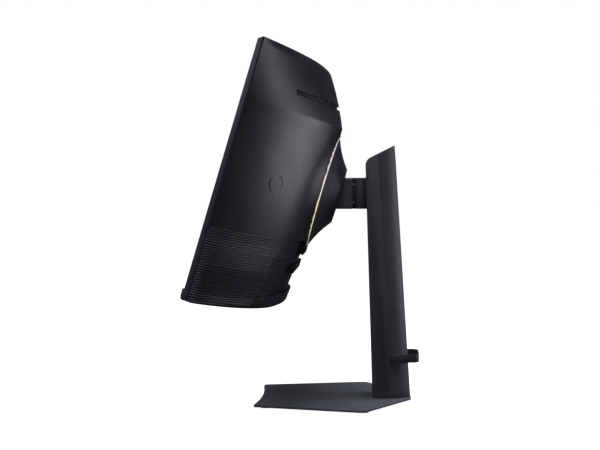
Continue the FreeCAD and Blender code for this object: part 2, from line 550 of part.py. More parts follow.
# ---------------------------------------------------------------- hub, light ring and tilt bracket
def make_hub():
    lens_front = RING_DEPTH - RING_THICK
    parts["light_ring_lens"] = lean(tube(RING_OUTER, RING_INNER, (0, lens_front, 0), RING_THICK, Y))
    board_outer = RING_INNER - CLEAR - HUB_WALL * 2
    parts["light_ring_board"] = lean(tube(board_outer, RING_BOARD_INNER, (0, DISH_FLOOR, 0), BOARD, Y))

    foot = RING_INNER - CLEAR
    waist_r, waist_d = HUB_WAIST[0], RING_DEPTH + HUB_WAIST[1]
    inner_foot = vec(foot - HUB_WALL, HUB_FOOT_DEPTH - HUB_FOOT_WALL, 0)
    outer = Part.Arc(vec(foot, HUB_FOOT_DEPTH, 0), vec(waist_r, waist_d, 0),
                     vec(HUB_FACE_RADIUS, HUB_FACE_DEPTH, 0))
    inner = Part.Arc(vec(HUB_FACE_RADIUS - HUB_WALL, HUB_FACE_DEPTH - HUB_WALL, 0),
                     vec(waist_r - HUB_WALL / 2, waist_d - HUB_WALL, 0), inner_foot)
    face, seat = HUB_FACE_DEPTH, DISH_FLOOR
    edges = [Part.makeLine(vec(foot, seat, 0), vec(foot, HUB_FOOT_DEPTH, 0)), outer.toShape(),
             Part.makeLine(vec(HUB_FACE_RADIUS, face, 0), vec(0, face, 0)),
             Part.makeLine(vec(0, face, 0), vec(0, face - HUB_WALL, 0)),
             Part.makeLine(vec(0, face - HUB_WALL, 0), vec(HUB_FACE_RADIUS - HUB_WALL, face - HUB_WALL, 0)),
             inner.toShape(),
             Part.makeLine(inner_foot, vec(foot - HUB_WALL, seat, 0)),
             Part.makeLine(vec(foot - HUB_WALL, seat, 0), vec(foot, seat, 0))]
    flare = Part.Face(Part.Wire(edges)).revolve(vec(0, 0, 0), Y, 360)
    reach = HUB_FACE_DEPTH - PIVOT_DEPTH
    half = ARM_HEIGHT / 2
    tilt = math.radians(HUB_WINDOW_TILT)
    rise = reach * math.tan(tilt) + half / math.cos(tilt) + RUNNING
    window_half = ARM_HALF_WIDTH + HUB_WINDOW_GAP
    window = block((-window_half, window_half), (PIVOT_DEPTH + TILT_PIN_RADIUS * 2, HUB_FACE_DEPTH + HUB_WALL),
                   (-half - HUB_WINDOW_LOW, rise + HUB_WINDOW_GAP))
    parts["hub_cover"] = lean(flare.cut(window))

    top = DISH_FLOOR + MOUNT_PLATE
    across, up = PLATE_HALF
    plate = block((-across, across), (DISH_FLOOR, top), (-up, up))
    plate = plate.common(rod(PLATE_RADIUS, (0, DISH_FLOOR, 0), MOUNT_PLATE, Y))
    for x, z in mount_spots():
        plate = plate.cut(rod(SCREW[1] + CLEAR, (x, DISH_FLOOR, z), MOUNT_PLATE, Y))
    ear_x = ARM_HALF_WIDTH + WASHER_THICK
    for side in (1, -1):
        low, high = sorted((side * ear_x, side * (ear_x + EAR_THICK)))
        ear = block((low, high), (DISH_FLOOR, PIVOT_DEPTH), (-EAR_RADIUS, EAR_RADIUS))
        ear = ear.fuse(rod(EAR_RADIUS, (low, PIVOT_DEPTH, 0), EAR_THICK, X))
        plate = plate.fuse(ear)
    bore = rod(TILT_PIN_RADIUS + RUNNING, (-across, PIVOT_DEPTH, 0), 2 * across, X)
    parts["hub_mount_plate"] = lean(plate.cut(bore).removeSplitter())
    posts = []
    screws = []
    for x, z in mount_spots():
        back = screen_depth(x) + TRAY_FRONT + TRAY
        post = rod(POST_RADIUS, (x, back, z), DISH_FLOOR - SHELL_WALL - back, Y)
        post = post.cut(rod(SCREW[1], (x, DISH_FLOOR - SHELL_WALL - POST_BORE, z), POST_BORE, Y))
        posts.append(post.cut(plate_band(TRAY_FRONT, TRAY_FRONT + TRAY, -HALF_H, HALF_H, HALF_W / 2)))
        length = MOUNT_PLATE + SHELL_WALL + POST_BORE - 1
        screws.append(screw(SCREW[0], SCREW[1], (x, top, z), SCREW_HEAD, length, -Y))
    parts["mount_posts"] = lean(group(posts))
    parts["hub_screws"] = lean(group(screws))
    shell_screws = [screw(SCREW[0], SCREW[1], (x, DISH_FLOOR, z), SCREW_HEAD, SHELL_SCREW_LENGTH, -Y)
                    for x, z in shell_screw_spots()]
    parts["shell_screws"] = lean(group(shell_screws))


# ---------------------------------------------------------------- ports and boards
def socket(x, width, height, cavity, tongue):
    """Metal socket with its mouth flush with the port plate: cavity and tongue are (width, height)."""
    mouth = PORT_PROUD - PORT_POCKET
    back = mouth - SOCKET_DEPTH
    z = (PORT_LOW + PORT_HIGH) / 2
    body = block((x - width / 2, x + width / 2), (back, mouth), (z - height / 2, z + height / 2))
    hollow = block((x - cavity[0] / 2, x + cavity[0] / 2), (back + SOCKET_WALL, mouth + 1),
                   (z - cavity[1] / 2, z + cavity[1] / 2))
    blade = block((x - tongue[0] / 2, x + tongue[0] / 2), (back, mouth - TONGUE_SET),
                  (z - tongue[1] / 2, z + tongue[1] / 2))
    return body.cut(hollow).fuse(blade)


def round_socket(x, outer, bore, pin):
    mouth = PORT_PROUD - PORT_POCKET
    z = (PORT_LOW + PORT_HIGH) / 2
    body = tube(outer, bore, (x, mouth - SOCKET_DEPTH, z), SOCKET_DEPTH, Y)
    floor = rod(outer, (x, mouth - SOCKET_DEPTH, z), SOCKET_WALL, Y)
    if pin:
        floor = floor.fuse(rod(pin, (x, mouth - SOCKET_DEPTH, z), SOCKET_DEPTH - 1, Y))
    return body.fuse(floor)


def make_ports():
    groups = {
        "power_inlet": [round_socket(*ROUND_SOCKETS["power"])],
        "hdmi_ports": [socket(x, *HDMI) for x in HDMI_X],
        "display_port": [socket(DISPLAY_X, *DISPLAY)],
        "usb_ports": [socket(USB_B_X, *USB_B)] + [socket(x, *USB_A) for x in USB_A_X],
        "headphone_jack": [round_socket(*ROUND_SOCKETS["jack"])],
    }
    inner = (PORT_HALF_WIDTH - CLEAR, (PORT_LOW + CLEAR, PORT_HIGH - CLEAR))
    bay = block((-inner[0], inner[0]), (PORT_PROUD - PORT_THICK, PORT_PROUD), inner[1])
    pocket = (inner[1][0] + PORT_RIM / 2, inner[1][1] - PORT_RIM / 2)
    bay = bay.cut(block((-inner[0] + PORT_RIM, inner[0] - PORT_RIM), (PORT_PROUD - PORT_POCKET, PORT_PROUD + 1),
                        pocket))
    for name, solids in groups.items():
        for solid in solids:
            box = solid.BoundBox
            room = block((box.XMin - CLEAR, box.XMax + CLEAR), (0, HEAD_DEPTH),
                         (box.ZMin - CLEAR, box.ZMax + CLEAR))
            bay = bay.cut(room)
        parts[name] = lean(group(solids))
    parts["port_bay"] = lean(bay)

    make_boards()


def make_boards():
    across, top = MAIN_BOARD
    layer = (BOARD_FACE - BOARD, BOARD_FACE)
    holes = [rod(POST_RADIUS + 1, (x, SAG, z), HEAD_DEPTH, Y) for x, z in mount_spots()]
    parts["main_board"] = lean(block(across, layer, (PORT_LOW - CLEAR, top)).cut(group(holes)))
    across, up = BACKLIGHT_BOARD
    parts["backlight_board"] = lean(block(across, layer, up).cut(group(holes)))
    tray_back = SAG + TRAY_FRONT + TRAY
    pan = (tray_back + BRACKET_GAP, tray_back + BRACKET_GAP + BRACKET_SHEET)
    bracket = block((-BRACKET_HALF_WIDTH, BRACKET_HALF_WIDTH), pan, (PORT_LOW - BRACKET_LEG, BRACKET_TOP))
    tray = plate_band(TRAY_FRONT, TRAY_FRONT + TRAY + RUNNING, -HALF_H, HALF_H, HALF_W / 2)
    legs = []
    for start, spots in ((tray_back, BRACKET_LEGS), (pan[1], [BACKLIGHT_LEG])):
        for x, z in spots:
            half = BRACKET_LEG
            legs.append(block((x - half, x + half), (start, layer[0]), (z - half, z + half)))
    parts["board_bracket"] = lean(bracket.fuse(legs).cut(group(holes)).cut(tray))


# ---------------------------------------------------------------- jog button
def make_jog():
    under = -HALF_H
    pivot = under + JOG_PIVOT_RISE
    top = under + SHELL_WALL + CLEAR
    half, height = JOG_HOUSING
    housing = block((-half, half), (JOG_Y - half, JOG_Y + half), (top, top + height))
    housing = housing.cut(rod(JOG_PLUNGER + RUNNING, (0, JOG_Y, top - 1), JOG_HOUSING_BORE, Z))
    parts["jog_housing"] = lean(housing.cut(rod(JOG_HOLE, (0, JOG_Y, top - 1), JOG_HOUSING_MOUTH, Z)))
    inner, outer = JOG_YOKE
    bar = (pivot + JOG_PLUNGER_BASE, pivot + JOG_PLUNGER_BASE + JOG_YOKE_BAR)
    fore_aft = (JOG_Y - JOG_YOKE_HALF, JOG_Y + JOG_YOKE_HALF)
    stem = rod(JOG_PLUNGER, (0, JOG_Y, bar[0]), JOG_PLUNGER_HEIGHT, Z)
    stem = stem.fuse(block((-outer, outer), fore_aft, bar))
    for cheek in ((inner, outer), (-outer, -inner)):
        stem = stem.fuse(block(cheek, fore_aft, (pivot - JOG_YOKE_DROP, bar[1])))
    stem = stem.cut(rod(JOG_PIN + RUNNING, (-half, JOG_Y, pivot), 2 * half, X))
    parts["jog_stem"] = lean(stem)
    outer, inner, half_height = JOG_RING
    ring = tube(outer, inner, (0, JOG_Y, pivot - half_height), 2 * half_height, Z)
    near, far = JOG_RING_PINS
    for start in (near, -far):
        ring = ring.fuse(rod(JOG_PIN, (start, JOG_Y, pivot), far - near, X))
    parts["jog_gimbal"] = lean(ring.cut(rod(JOG_PIN + RUNNING, (0, JOG_Y - half, pivot), 2 * half, Y)))
    cap = rod(JOG_CAP_RADIUS, (0, JOG_Y, under - JOG_CAP_DROP), JOG_CAP_HEIGHT, Z)
    radius, below, above = JOG_NECK
    cap = cap.fuse(rod(radius, (0, JOG_Y, under - below), JOG_PIVOT_RISE + below + above - 1, Z))
    cross = rod(JOG_PIN, (0, JOG_Y - JOG_CROSS_PIN, pivot), 2 * JOG_CROSS_PIN, Y)
    parts["jog_cap"] = lean(cap.fuse(cross))


# ---------------------------------------------------------------- arm
def make_arm():
    front = PIVOT_Y + KNUCKLE_REACH
    body = block((-ARM_HALF_WIDTH, ARM_HALF_WIDTH), (front, ARM_BACK), (ARM_LOW, ARM_HIGH))
    body = body.makeFillet(ARM_ROUND, [e for e in body.Edges if abs(e.Length - (ARM_BACK - front)) < 0.01])
    knuckle = (ARM_Z - KNUCKLE_RADIUS, ARM_Z + KNUCKLE_RADIUS)
    nose = block((-ARM_HALF_WIDTH, ARM_HALF_WIDTH), (PIVOT_Y, front), knuckle)
    nose = nose.fuse(rod(KNUCKLE_RADIUS, (-ARM_HALF_WIDTH, PIVOT_Y, ARM_Z), 2 * ARM_HALF_WIDTH, X))
    low, high = ARM_LOW + BARREL_END + TONGUE_GAP, ARM_HIGH - BARREL_END - TONGUE_GAP
    tongue = block((-TONGUE_HALF_WIDTH, TONGUE_HALF_WIDTH), (ARM_BACK, 0), (low, high))
    tongue = tongue.fuse(rod(EYE_RADIUS, (0, 0, low), high - low, Z))
    tongue = tongue.cut(rod(SWIVEL_PIN_RADIUS + SWIVEL_BUSH_WALL, (0, 0, low), high - low, Z))
    body = body.fuse(nose).fuse(tongue)
    bush = TILT_PIN_RADIUS + TILT_BUSH_WALL
    bore = rod(bush, (-ARM_HALF_WIDTH, PIVOT_Y, ARM_Z), 2 * ARM_HALF_WIDTH, X)
    parts["arm_body"] = body.cut(bore).removeSplitter()
    parts["swivel_bush"] = tube(SWIVEL_PIN_RADIUS + SWIVEL_BUSH_WALL, SWIVEL_PIN_RADIUS + RUNNING,
                                (0, 0, low), high - low, Z)
    start = (-ARM_HALF_WIDTH, PIVOT_Y, ARM_Z)
    parts["tilt_bush"] = tube(bush, TILT_PIN_RADIUS, start, 2 * ARM_HALF_WIDTH, X)
    ear = ARM_HALF_WIDTH + WASHER_THICK + EAR_THICK
    reach = ear + NUT_THICK + 1.0
    parts["tilt_pin"] = rod(TILT_PIN_RADIUS, (-reach, PIVOT_Y, ARM_Z), 2 * reach, X)
    washers = []
    nuts = []
    for side in (1, -1):
        inner = min(side * ARM_HALF_WIDTH, side * (ARM_HALF_WIDTH + WASHER_THICK - SLIDE_GAP))
        thick = WASHER_THICK - SLIDE_GAP
        washers.append(tube(WASHER_RADIUS, TILT_PIN_RADIUS, (inner, PIVOT_Y, ARM_Z), thick, X))
        outer = min(side * (ear + SLIDE_GAP), side * (ear + SLIDE_GAP + NUT_THICK))
        corners = [(outer, PIVOT_Y + NUT_RADIUS * math.cos(math.radians(60 * i)),
                    ARM_Z + NUT_RADIUS * math.sin(math.radians(60 * i))) for i in range(6)]
        nut = prism(corners, X * NUT_THICK)
        nuts.append(nut.cut(rod(TILT_PIN_RADIUS, (outer, PIVOT_Y, ARM_Z), NUT_THICK, X)))
    parts["tilt_friction_washers"] = group(washers)
    parts["tilt_nuts"] = group(nuts)


# ---------------------------------------------------------------- lift carriage
def make_carriage():
    low, high = ARM_LOW + BARREL_END, ARM_HIGH - BARREL_END
    barrel = rod(BARREL_RADIUS, (0, 0, ARM_LOW), ARM_HEIGHT, Z)
    web = block((-WEB_HALF_WIDTH, WEB_HALF_WIDTH), (0, CARRIAGE_FRONT), (ARM_LOW + 1, ARM_HIGH - 1))
    barrel = barrel.fuse(web)
    barrel = barrel.cut(rod(BARREL_BORE, (0, 0, low), high - low, Z))
    barrel = barrel.cut(block((-SWIVEL_WINDOW, SWIVEL_WINDOW), (-BARREL_RADIUS - 1, 0), (low, high)))
    barrel = barrel.cut(rod(SWIVEL_PIN_RADIUS, (0, 0, ARM_LOW), ARM_HEIGHT, Z))
    parts["swivel_barrel"] = barrel.removeSplitter()
    parts["swivel_pin"] = rod(SWIVEL_PIN_RADIUS, (0, 0, ARM_LOW + 0.5), ARM_HEIGHT - 1, Z)

    bottom, top = CARRIAGE_LOW, CARRIAGE_HIGH
    channel = RAIL_HALF_WIDTH + SLIDE_GAP + PAD_THICK
    body = block((-CARRIAGE_HALF_WIDTH, CARRIAGE_HALF_WIDTH), (CARRIAGE_FRONT, CARRIAGE_BACK), (bottom, top))
    front = RAIL_FRONT - SLIDE_GAP - PAD_THICK
    body = body.cut(block((-channel, channel), (front, CARRIAGE_BACK), (bottom, top)))
    pads = []
    for height in (bottom + PAD_END, top - PAD_END - PAD_HEIGHT):
        rise = (height, height + PAD_HEIGHT)
        pads.append(block((-RAIL_HALF_WIDTH, RAIL_HALF_WIDTH), (front, front + PAD_THICK), rise))
        for side in (1, -1):
            edges = sorted((side * channel, side * (channel - PAD_THICK)))
            pads.append(block(edges, (RAIL_FRONT, CARRIAGE_BACK - PAD_END), rise))
    parts["glide_pads"] = group(pads)
    parts["carriage_block"] = body
    ribbon_y = DRUM_Y - DRUM_RADIUS
    across = (-RIBBON_HALF_WIDTH, RIBBON_HALF_WIDTH)
    parts["spring_ribbon"] = block(across, (ribbon_y, ribbon_y + RIBBON), (top, DRUM_Z))


# ---------------------------------------------------------------- column
def column_section(height, front, rear, half_width):
    """D-shaped outline: flat front and sides, half-round rear."""
    centre = rear - half_width
    corners = [vec(-half_width, front, height), vec(half_width, front, height),
               vec(half_width, centre, height)]
    left = vec(-half_width, centre, height)
    arc = Part.Arc(corners[2], vec(0, rear, height), left).toShape()
    return Part.Wire([Part.makeLine(corners[0], corners[1]), Part.makeLine(corners[1], corners[2]), arc,
                      Part.makeLine(left, corners[0])])


def column_solid(front_shift, rear_inset, half_width):
    side = COLUMN_SIDE + [(RAIL_TOP + rise, front, rear) for rise, front, rear in COLUMN_UPPER_SIDE]
    wires = [column_section(z, front + front_shift, rear - rear_inset, half_width) for z, front, rear in side]
    return Part.makeLoft(wires, True, True)


def column_cap(drop):
    """Everything under the slanted top, lowered by drop."""
    slope = (CAP_REAR[1] - CAP_NOSE[1]) / (CAP_REAR[0] - CAP_NOSE[0])
    top = RAIL_TOP - drop
    start = (CAP_FRONT[0] + drop, CAP_FRONT[1] + top)
    middle = (CAP_ROUND[0] + drop, CAP_ROUND[1] + top)
    nose = (CAP_NOSE[0], CAP_NOSE[1] + top)
    far = (COLUMN_REACH, nose[1] + slope * (COLUMN_REACH - nose[0]))
    arc = Part.Arc(*[vec(0, y, z) for y, z in (start, middle, nose)]).toShape()
    front = -COLUMN_HALF_WIDTH
    outline = [vec(0, *p) for p in (nose, far, (far[0], 0), (front, 0), (front, start[1]), start)]
    lines = [Part.makeLine(a, b) for a, b in zip(outline, outline[1:])]
    solid = Part.Face(Part.Wire([arc] + lines)).extrude(X * 2 * COLUMN_HALF_WIDTH)
    solid.translate(vec(-COLUMN_HALF_WIDTH, 0, 0))
    return solid


def make_column():
    outer = column_solid(0, 0, COLUMN_HALF_WIDTH).common(column_cap(0))
    inner_half = COLUMN_HALF_WIDTH - COLUMN_WALL
    ahead = (-COLUMN_HALF_WIDTH, COLUMN_REACH)
    cavity = column_solid(-inner_half, COLUMN_WALL, inner_half).common(column_cap(COLUMN_WALL))
    lid = block((-inner_half, inner_half), ahead, (RAIL_TOP, RAIL_TOP + COLUMN_REACH))
    room = column_solid(COLUMN_WALL, COLUMN_WALL, inner_half).common(column_cap(COLUMN_WALL))
    cavity = cavity.cut(lid).fuse(room)
    tabs = clip_tabs(CLEAR)
    parts["column_shell"] = outer.cut(cavity).cut(tabs).removeSplitter()
    fill = inner_half - FRONT_COVER_GAP
    behind = column_solid(FRONT_COVER_BACKSET + FRONT_COVER, -COLUMN_WALL, fill + COLUMN_WALL)
    cover = column_solid(FRONT_COVER_BACKSET, 0, fill).cut(behind)
    cover = cover.common(block((-fill, fill), ahead, (COLUMN_FOOT, RAIL_TOP - FRONT_COVER_GAP)))
    slot = block((-SLOT_HALF_WIDTH, SLOT_HALF_WIDTH), ahead, (ARM_LOW - LIFT_TRAVEL - SLOT_SPARE, RAIL_TOP))
    parts["column_front_cover"] = cover.cut(slot)

    foot = column_solid(FRONT_COVER_BACKSET + FRONT_COVER, COLUMN_WALL, inner_half)
    foot = foot.common(block((-inner_half, inner_half), ahead, (COLUMN_FOOT, FOOT_BLOCK_TOP)))
    base = FOOT_THICK
    thumb_y = (FOOT_SCREWS[0][1] + FOOT_SCREWS[2][1]) / 2
    thumb = screw(THUMBSCREW[0], THUMBSCREW[1], (0, thumb_y, base), base - HEAD_SINK, THUMBSCREW_LENGTH, Z)
    screws = [screw(SCREW[0], SCREW[1], (x, y, base), base - HEAD_SINK, FOOT_SCREW_LENGTH, Z)
              for x, y in FOOT_SCREWS]
    parts["base_thumbscrew"] = thumb
    parts["column_foot_screws"] = group(screws)
    drilled = group([thumb] + screws)
    parts["column_foot_block"] = foot.cut(drilled)
    rail = block((-RAIL_HALF_WIDTH, RAIL_HALF_WIDTH), (RAIL_FRONT, RAIL_BACK), (FOOT_BLOCK_TOP, RAIL_TOP))
    half, length, thick = RAIL_HEEL
    seat = FOOT_BLOCK_TOP + thick
    rail = rail.fuse(block((-half, half), (RAIL_FRONT, RAIL_FRONT + length), (FOOT_BLOCK_TOP, seat)))
    across, behind = RAIL_BOLT
    bolts = [screw(SCREW[0], SCREW[1], (x, RAIL_BACK + behind, seat), SCREW_HEAD, RAIL_BOLT_LENGTH, -Z)
             for x in (-across, across)]
    parts["guide_rail_screws"] = group(bolts)
    parts["guide_rail"] = rail.cut(group(bolts))
    parts["column_foot_block"] = parts["column_foot_block"].cut(group(bolts))
    make_spring()


def make_spring():
    wall = CASSETTE_WALL
    half = CASSETTE_HALF_WIDTH
    front, back = DRUM_Y - CASSETTE_DEPTH[0], DRUM_Y + CASSETTE_DEPTH[1]
    cassette = block((-half, half), (front, back), (RAIL_TOP, RAIL_TOP + wall))
    for low, high in ((-half, -half + wall), (half - wall, half)):
        cassette = cassette.fuse(block((low, high), (front, back), (RAIL_TOP, DRUM_Z + CASSETTE_RISE)))
    axle = rod(DRUM_AXLE, (-half - 1, DRUM_Y, DRUM_Z), 2 * half + 2, X)
    parts["spring_cassette"] = cassette.cut(axle)
    parts["drum_axle"] = axle
    drum = rod(DRUM_RADIUS, (-DRUM_HALF_WIDTH, DRUM_Y, DRUM_Z), 2 * DRUM_HALF_WIDTH, X)
    wide = RIBBON_HALF_WIDTH + DRUM_SIDE_GAP
    groove = tube(DRUM_RADIUS + 1, DRUM_RADIUS - DRUM_FLANGE, (-wide, DRUM_Y, DRUM_Z), 2 * wide, X)
    bore = rod(DRUM_AXLE + RUNNING, (-half, DRUM_Y, DRUM_Z), 2 * half, X)
    parts["spring_drum"] = drum.cut(groove).cut(bore)


# ---------------------------------------------------------------- cable clip
def clip_tabs(grow):
    length, height = CLIP_TAB
    middle = (CLIP_LOW + CLIP_HIGH) / 2
    outer = COLUMN_HALF_WIDTH + CLIP_WALL / 5
    inner = COLUMN_HALF_WIDTH - COLUMN_WALL - CLIP_HOOK
    tabs = []
    for low, high in ((inner, outer), (-outer, -inner)):
        tabs.append(block((low, high), (CLIP_START - grow, CLIP_START + length + grow),
                          (middle - height / 2 - grow, middle + height / 2 + grow)))
    return group(tabs)


def make_clip():
    height = CLIP_HIGH - CLIP_LOW

    def rounded(inset):
        """The loop's outline as a solid, moved in by inset, with both rear corners rounded."""
        half, back = COLUMN_HALF_WIDTH + CLIP_WALL - inset, CLIP_BACK - inset
        solid = block((-half, half), (CLIP_START, back), (CLIP_LOW, CLIP_HIGH))
        rear = [e for e in solid.Edges if abs(e.Length - height) < 0.01 and e.CenterOfMass.y > back - 0.01]
        return solid.makeFillet(CLIP_CORNER - inset, rear)
    loop = rounded(0).cut(rounded(CLIP_WALL))
    parts["cable_clip"] = loop.fuse(clip_tabs(0).Solids).removeSplitter()


# ---------------------------------------------------------------- base
def make_base():
    fx, fy = BASE_FRONT
    kx, ky = BASE_KINK
    rx, ry = BASE_REAR
    front = Part.Arc(vec(-fx, fy, FOOT_THICK), vec(0, BASE_FRONT_MID, FOOT_THICK),
                     vec(fx, fy, FOOT_THICK)).toShape()
    spots = [(fx, fy), (kx, ky), (rx, ry), (-rx, ry), (-kx, ky), (-fx, fy)]
    points = [vec(x, y, FOOT_THICK) for x, y in spots]
    lines = [Part.makeLine(a, b) for a, b in zip(points, points[1:])]
    plate = Part.Face(Part.Wire([front] + lines)).extrude(Z * BASE_THICK)

    def upright(x, y):
        return [e for e in plate.Edges if abs(e.Length - BASE_THICK) < 0.01 and
                abs(abs(e.CenterOfMass.x) - x) < 0.1 and abs(e.CenterOfMass.y - y) < 0.1]
    plate = plate.makeFillet(BASE_CORNER, upright(fx, fy) + upright(rx, ry))
    plate = plate.makeFillet(BASE_KINK_ROUND, upright(kx, ky))
    rim = [edge for edge in plate.Edges
           if abs(edge.BoundBox.ZMin - COLUMN_FOOT) + abs(edge.BoundBox.ZMax - COLUMN_FOOT) < 0.01]
    plate = plate.makeChamfer(BASE_BEVEL, rim)
    parts["base_plate"] = plate.cut(parts["base_thumbscrew"]).cut(parts["column_foot_screws"])
    parts["base_feet"] = group([rod(FOOT_RADIUS, (x, y, 0), FOOT_THICK, Z) for x, y in FEET])


def main():
    make_panel()
    make_casing()
    make_hub()
    make_ports()
    make_jog()
    make_arm()
    make_carriage()
    make_column()
    make_clip()
    make_base()
    os.makedirs("parts", exist_ok=True)
    for name, shape in parts.items():
        shape.exportStep(os.path.join("parts", name + ".step"))
        print(f"{name}: {len(shape.Solids)} solids, {shape.Volume / 1000:.1f} cm3, valid {shape.isValid()}")


main()
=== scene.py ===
"""Curved desk monitor on a height-adjustable stand: meshes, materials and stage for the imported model.

Head coordinates are millimetres: x across, y back from the chord of the screen's side edges, z up from the
screen's middle. head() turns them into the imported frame's metres, with the lean that the model has at rest.
"""
import json
import math
import bmesh
import bpy
from bpy.props import FloatProperty, FloatVectorProperty, IntProperty, PointerProperty
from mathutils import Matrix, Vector

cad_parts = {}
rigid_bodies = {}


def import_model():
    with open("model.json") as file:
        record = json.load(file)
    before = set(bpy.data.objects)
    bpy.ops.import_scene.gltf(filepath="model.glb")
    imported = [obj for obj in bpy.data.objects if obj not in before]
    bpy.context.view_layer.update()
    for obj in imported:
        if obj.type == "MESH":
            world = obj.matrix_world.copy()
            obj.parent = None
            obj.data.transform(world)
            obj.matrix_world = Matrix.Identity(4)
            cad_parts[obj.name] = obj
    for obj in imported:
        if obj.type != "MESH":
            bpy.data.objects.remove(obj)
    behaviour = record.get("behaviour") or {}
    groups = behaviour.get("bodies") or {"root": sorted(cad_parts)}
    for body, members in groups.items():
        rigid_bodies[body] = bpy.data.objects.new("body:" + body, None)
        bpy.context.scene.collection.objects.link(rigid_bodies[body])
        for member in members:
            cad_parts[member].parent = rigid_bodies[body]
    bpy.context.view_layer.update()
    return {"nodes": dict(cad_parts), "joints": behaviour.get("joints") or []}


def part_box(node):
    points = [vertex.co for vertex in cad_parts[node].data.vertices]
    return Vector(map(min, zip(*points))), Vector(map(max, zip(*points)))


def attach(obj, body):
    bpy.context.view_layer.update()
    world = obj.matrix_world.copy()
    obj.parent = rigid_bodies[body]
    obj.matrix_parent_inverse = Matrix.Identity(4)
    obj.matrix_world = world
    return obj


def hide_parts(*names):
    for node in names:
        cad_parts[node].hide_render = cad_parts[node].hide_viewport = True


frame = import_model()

bl_info = {
    "name": "Curved desk monitor",
    "version": (1, 0, 0),
    "blender": (4, 5, 0),
    "location": "View3D > Sidebar > Monitor",
    "description": "Finishes the monitor's casings, stand and stage on the packed model",
    "category": "Object",
}

MM = 0.001
JOINTS = {joint["name"]: joint for joint in frame["joints"]}
TILT_AXIS = Vector(JOINTS["tilt"]["pos_m"])
HEAD_UP = Vector(JOINTS["jog_press"]["axis"])
HEAD_BACK = Vector(JOINTS["jog_side"]["axis"])
PIVOT_DEPTH = 163.0         # the tilt pin, behind the chord, in mm

HALF_WIDTH = (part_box("middle_frame")[1].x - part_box("middle_frame")[0].x) / 2 / MM
HALF_HEIGHT = 213.5
SCREEN_RADIUS = 1000.0
SAG = SCREEN_RADIUS - math.sqrt(SCREEN_RADIUS ** 2 - HALF_WIDTH ** 2)
FRAME_BACK = 7.0            # the strip's rear, behind the screen
RIM = 2.5                   # the shell's flat side rim
REAR = SAG + 87.06          # the shell's rear in the middle
WALL = 2.4                  # the rear shell's
COVER_WALL = 1.6
LAP = 0.3                   # how far the casings' top and bottom edges reach over the middle frame
SPLIT = -90.0               # where the smooth shell meets the ribbed cover
RING_OUTER = 101.5          # the ring's bore in the shell
RING_INNER = 97.5
RING_BACK = REAR + 0.5
AXIS = 0.01                 # radius that stands for the middle of a spun solid


def head(x, y, z):
    """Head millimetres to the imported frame's metres."""
    return TILT_AXIS + Vector((x, 0, 0)) * MM + HEAD_BACK * (y - PIVOT_DEPTH) * MM + HEAD_UP * z * MM


def head_height(point):
    """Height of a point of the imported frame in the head's own upright direction, in mm."""
    return (point - TILT_AXIS).dot(HEAD_UP) / MM


# ---------------------------------------------------------------- sizes and colours a user would change
class ShellSizes(bpy.types.PropertyGroup):
    rows: IntProperty(name="Rows", description="Rows of faces up the smooth shell", default=120, min=20)
    columns: IntProperty(name="Columns", description="Columns of faces across half of the back", default=64,
                         min=12)
    blend: FloatProperty(name="Ring blend", description="How softly the shell rises to the light ring, in mm",
                         default=5.0, min=0.5)
    slot_depth: FloatProperty(name="Vent depth", description="Depth of the vent slot, in mm", default=7.0)


class RibSizes(bpy.types.PropertyGroup):
    # such ribs are about 3.6 mm apart, which a view of the whole monitor blurs away: drawn a little coarser
    pitch: FloatProperty(name="Rib pitch", description="Height of one rib on the lower cover",
                         default=4.15 * MM, unit="LENGTH", precision=5)
    depth: FloatProperty(name="Rib depth", description="Depth of the groove between ribs", default=1.2 * MM,
                         unit="LENGTH", precision=5)
    slats: FloatProperty(name="Slat pitch", description="Distance between the vent's slats", default=5.0 * MM,
                         unit="LENGTH", precision=5)


class Colours(bpy.types.PropertyGroup):
    ring_top: FloatVectorProperty(name="Ring top", description="Light at the ring's top", subtype="COLOR",
                                  size=3, min=0, max=1, default=(0.74, 0.56, 0.68))
    ring_low: FloatVectorProperty(name="Ring foot", description="Light at the ring's foot", subtype="COLOR",
                                  size=3, min=0, max=1, default=(0.62, 0.58, 0.33))
    ring_power: FloatProperty(name="Ring power", description="Strength of the ring's light", default=0.98,
                              min=0)


class StageSizes(bpy.types.PropertyGroup):
    lens: FloatProperty(name="Lens", description="Focal length on a 36 mm sensor", default=85.38,
                        unit="CAMERA")
    floor: FloatProperty(name="Floor", description="Half width of the floor", default=30.0, unit="LENGTH")
    key: FloatProperty(name="Key power", description="Power of the tall light behind the far side",
                       default=1.9)
    fill: FloatProperty(name="Fill power", description="Power of the wide soft light on the open side",
                        default=7.5)
    strip: FloatProperty(name="Strip power", description="Power of the strip light behind the stand",
                         default=5.0)
    top: FloatProperty(name="Top power", description="Power of the overhead light", default=62.0)


# ---------------------------------------------------------------- materials
CLOUD = 60.0                # size of the slow drift across a moulding, in mm
FINE_SHARE = 0.35           # how much of the mottle is the fine grain's
TONES = (0.36, 0.66)        # where the mottle is darkest and lightest
NOISE = (0.3, 0.7)          # the range that a noise really fills
RIB_PAINTED_HIGHLIGHT = (0.10, 0.24)     # painted highlight on a rib's land, and where it has faded into the painted groove shade, in shares of the pitch
RIB_GROOVE = (0.16, 0.42)   # where the groove starts and where it is deepest, in shares of the pitch


def srgb(code):
    """sRGB hex to linear RGBA."""
    parts = [int(code[i:i + 2], 16) / 255 for i in (1, 3, 5)]
    return tuple(p / 12.92 if p <= 0.04045 else ((p + 0.055) / 1.055) ** 2.4 for p in parts) + (1.0,)


def add(tree, kind, inputs=None, **settings):
    """Adds a node with its settings; inputs are values or sockets to link, by name or number."""
    node = tree.nodes.new(kind)
    for key, value in settings.items():
        setattr(node, key, value)
    for key, value in (inputs or {}).items():
        if isinstance(value, bpy.types.NodeSocket):
            tree.links.new(value, node.inputs[key])
        else:
            node.inputs[key].default_value = value
    return node


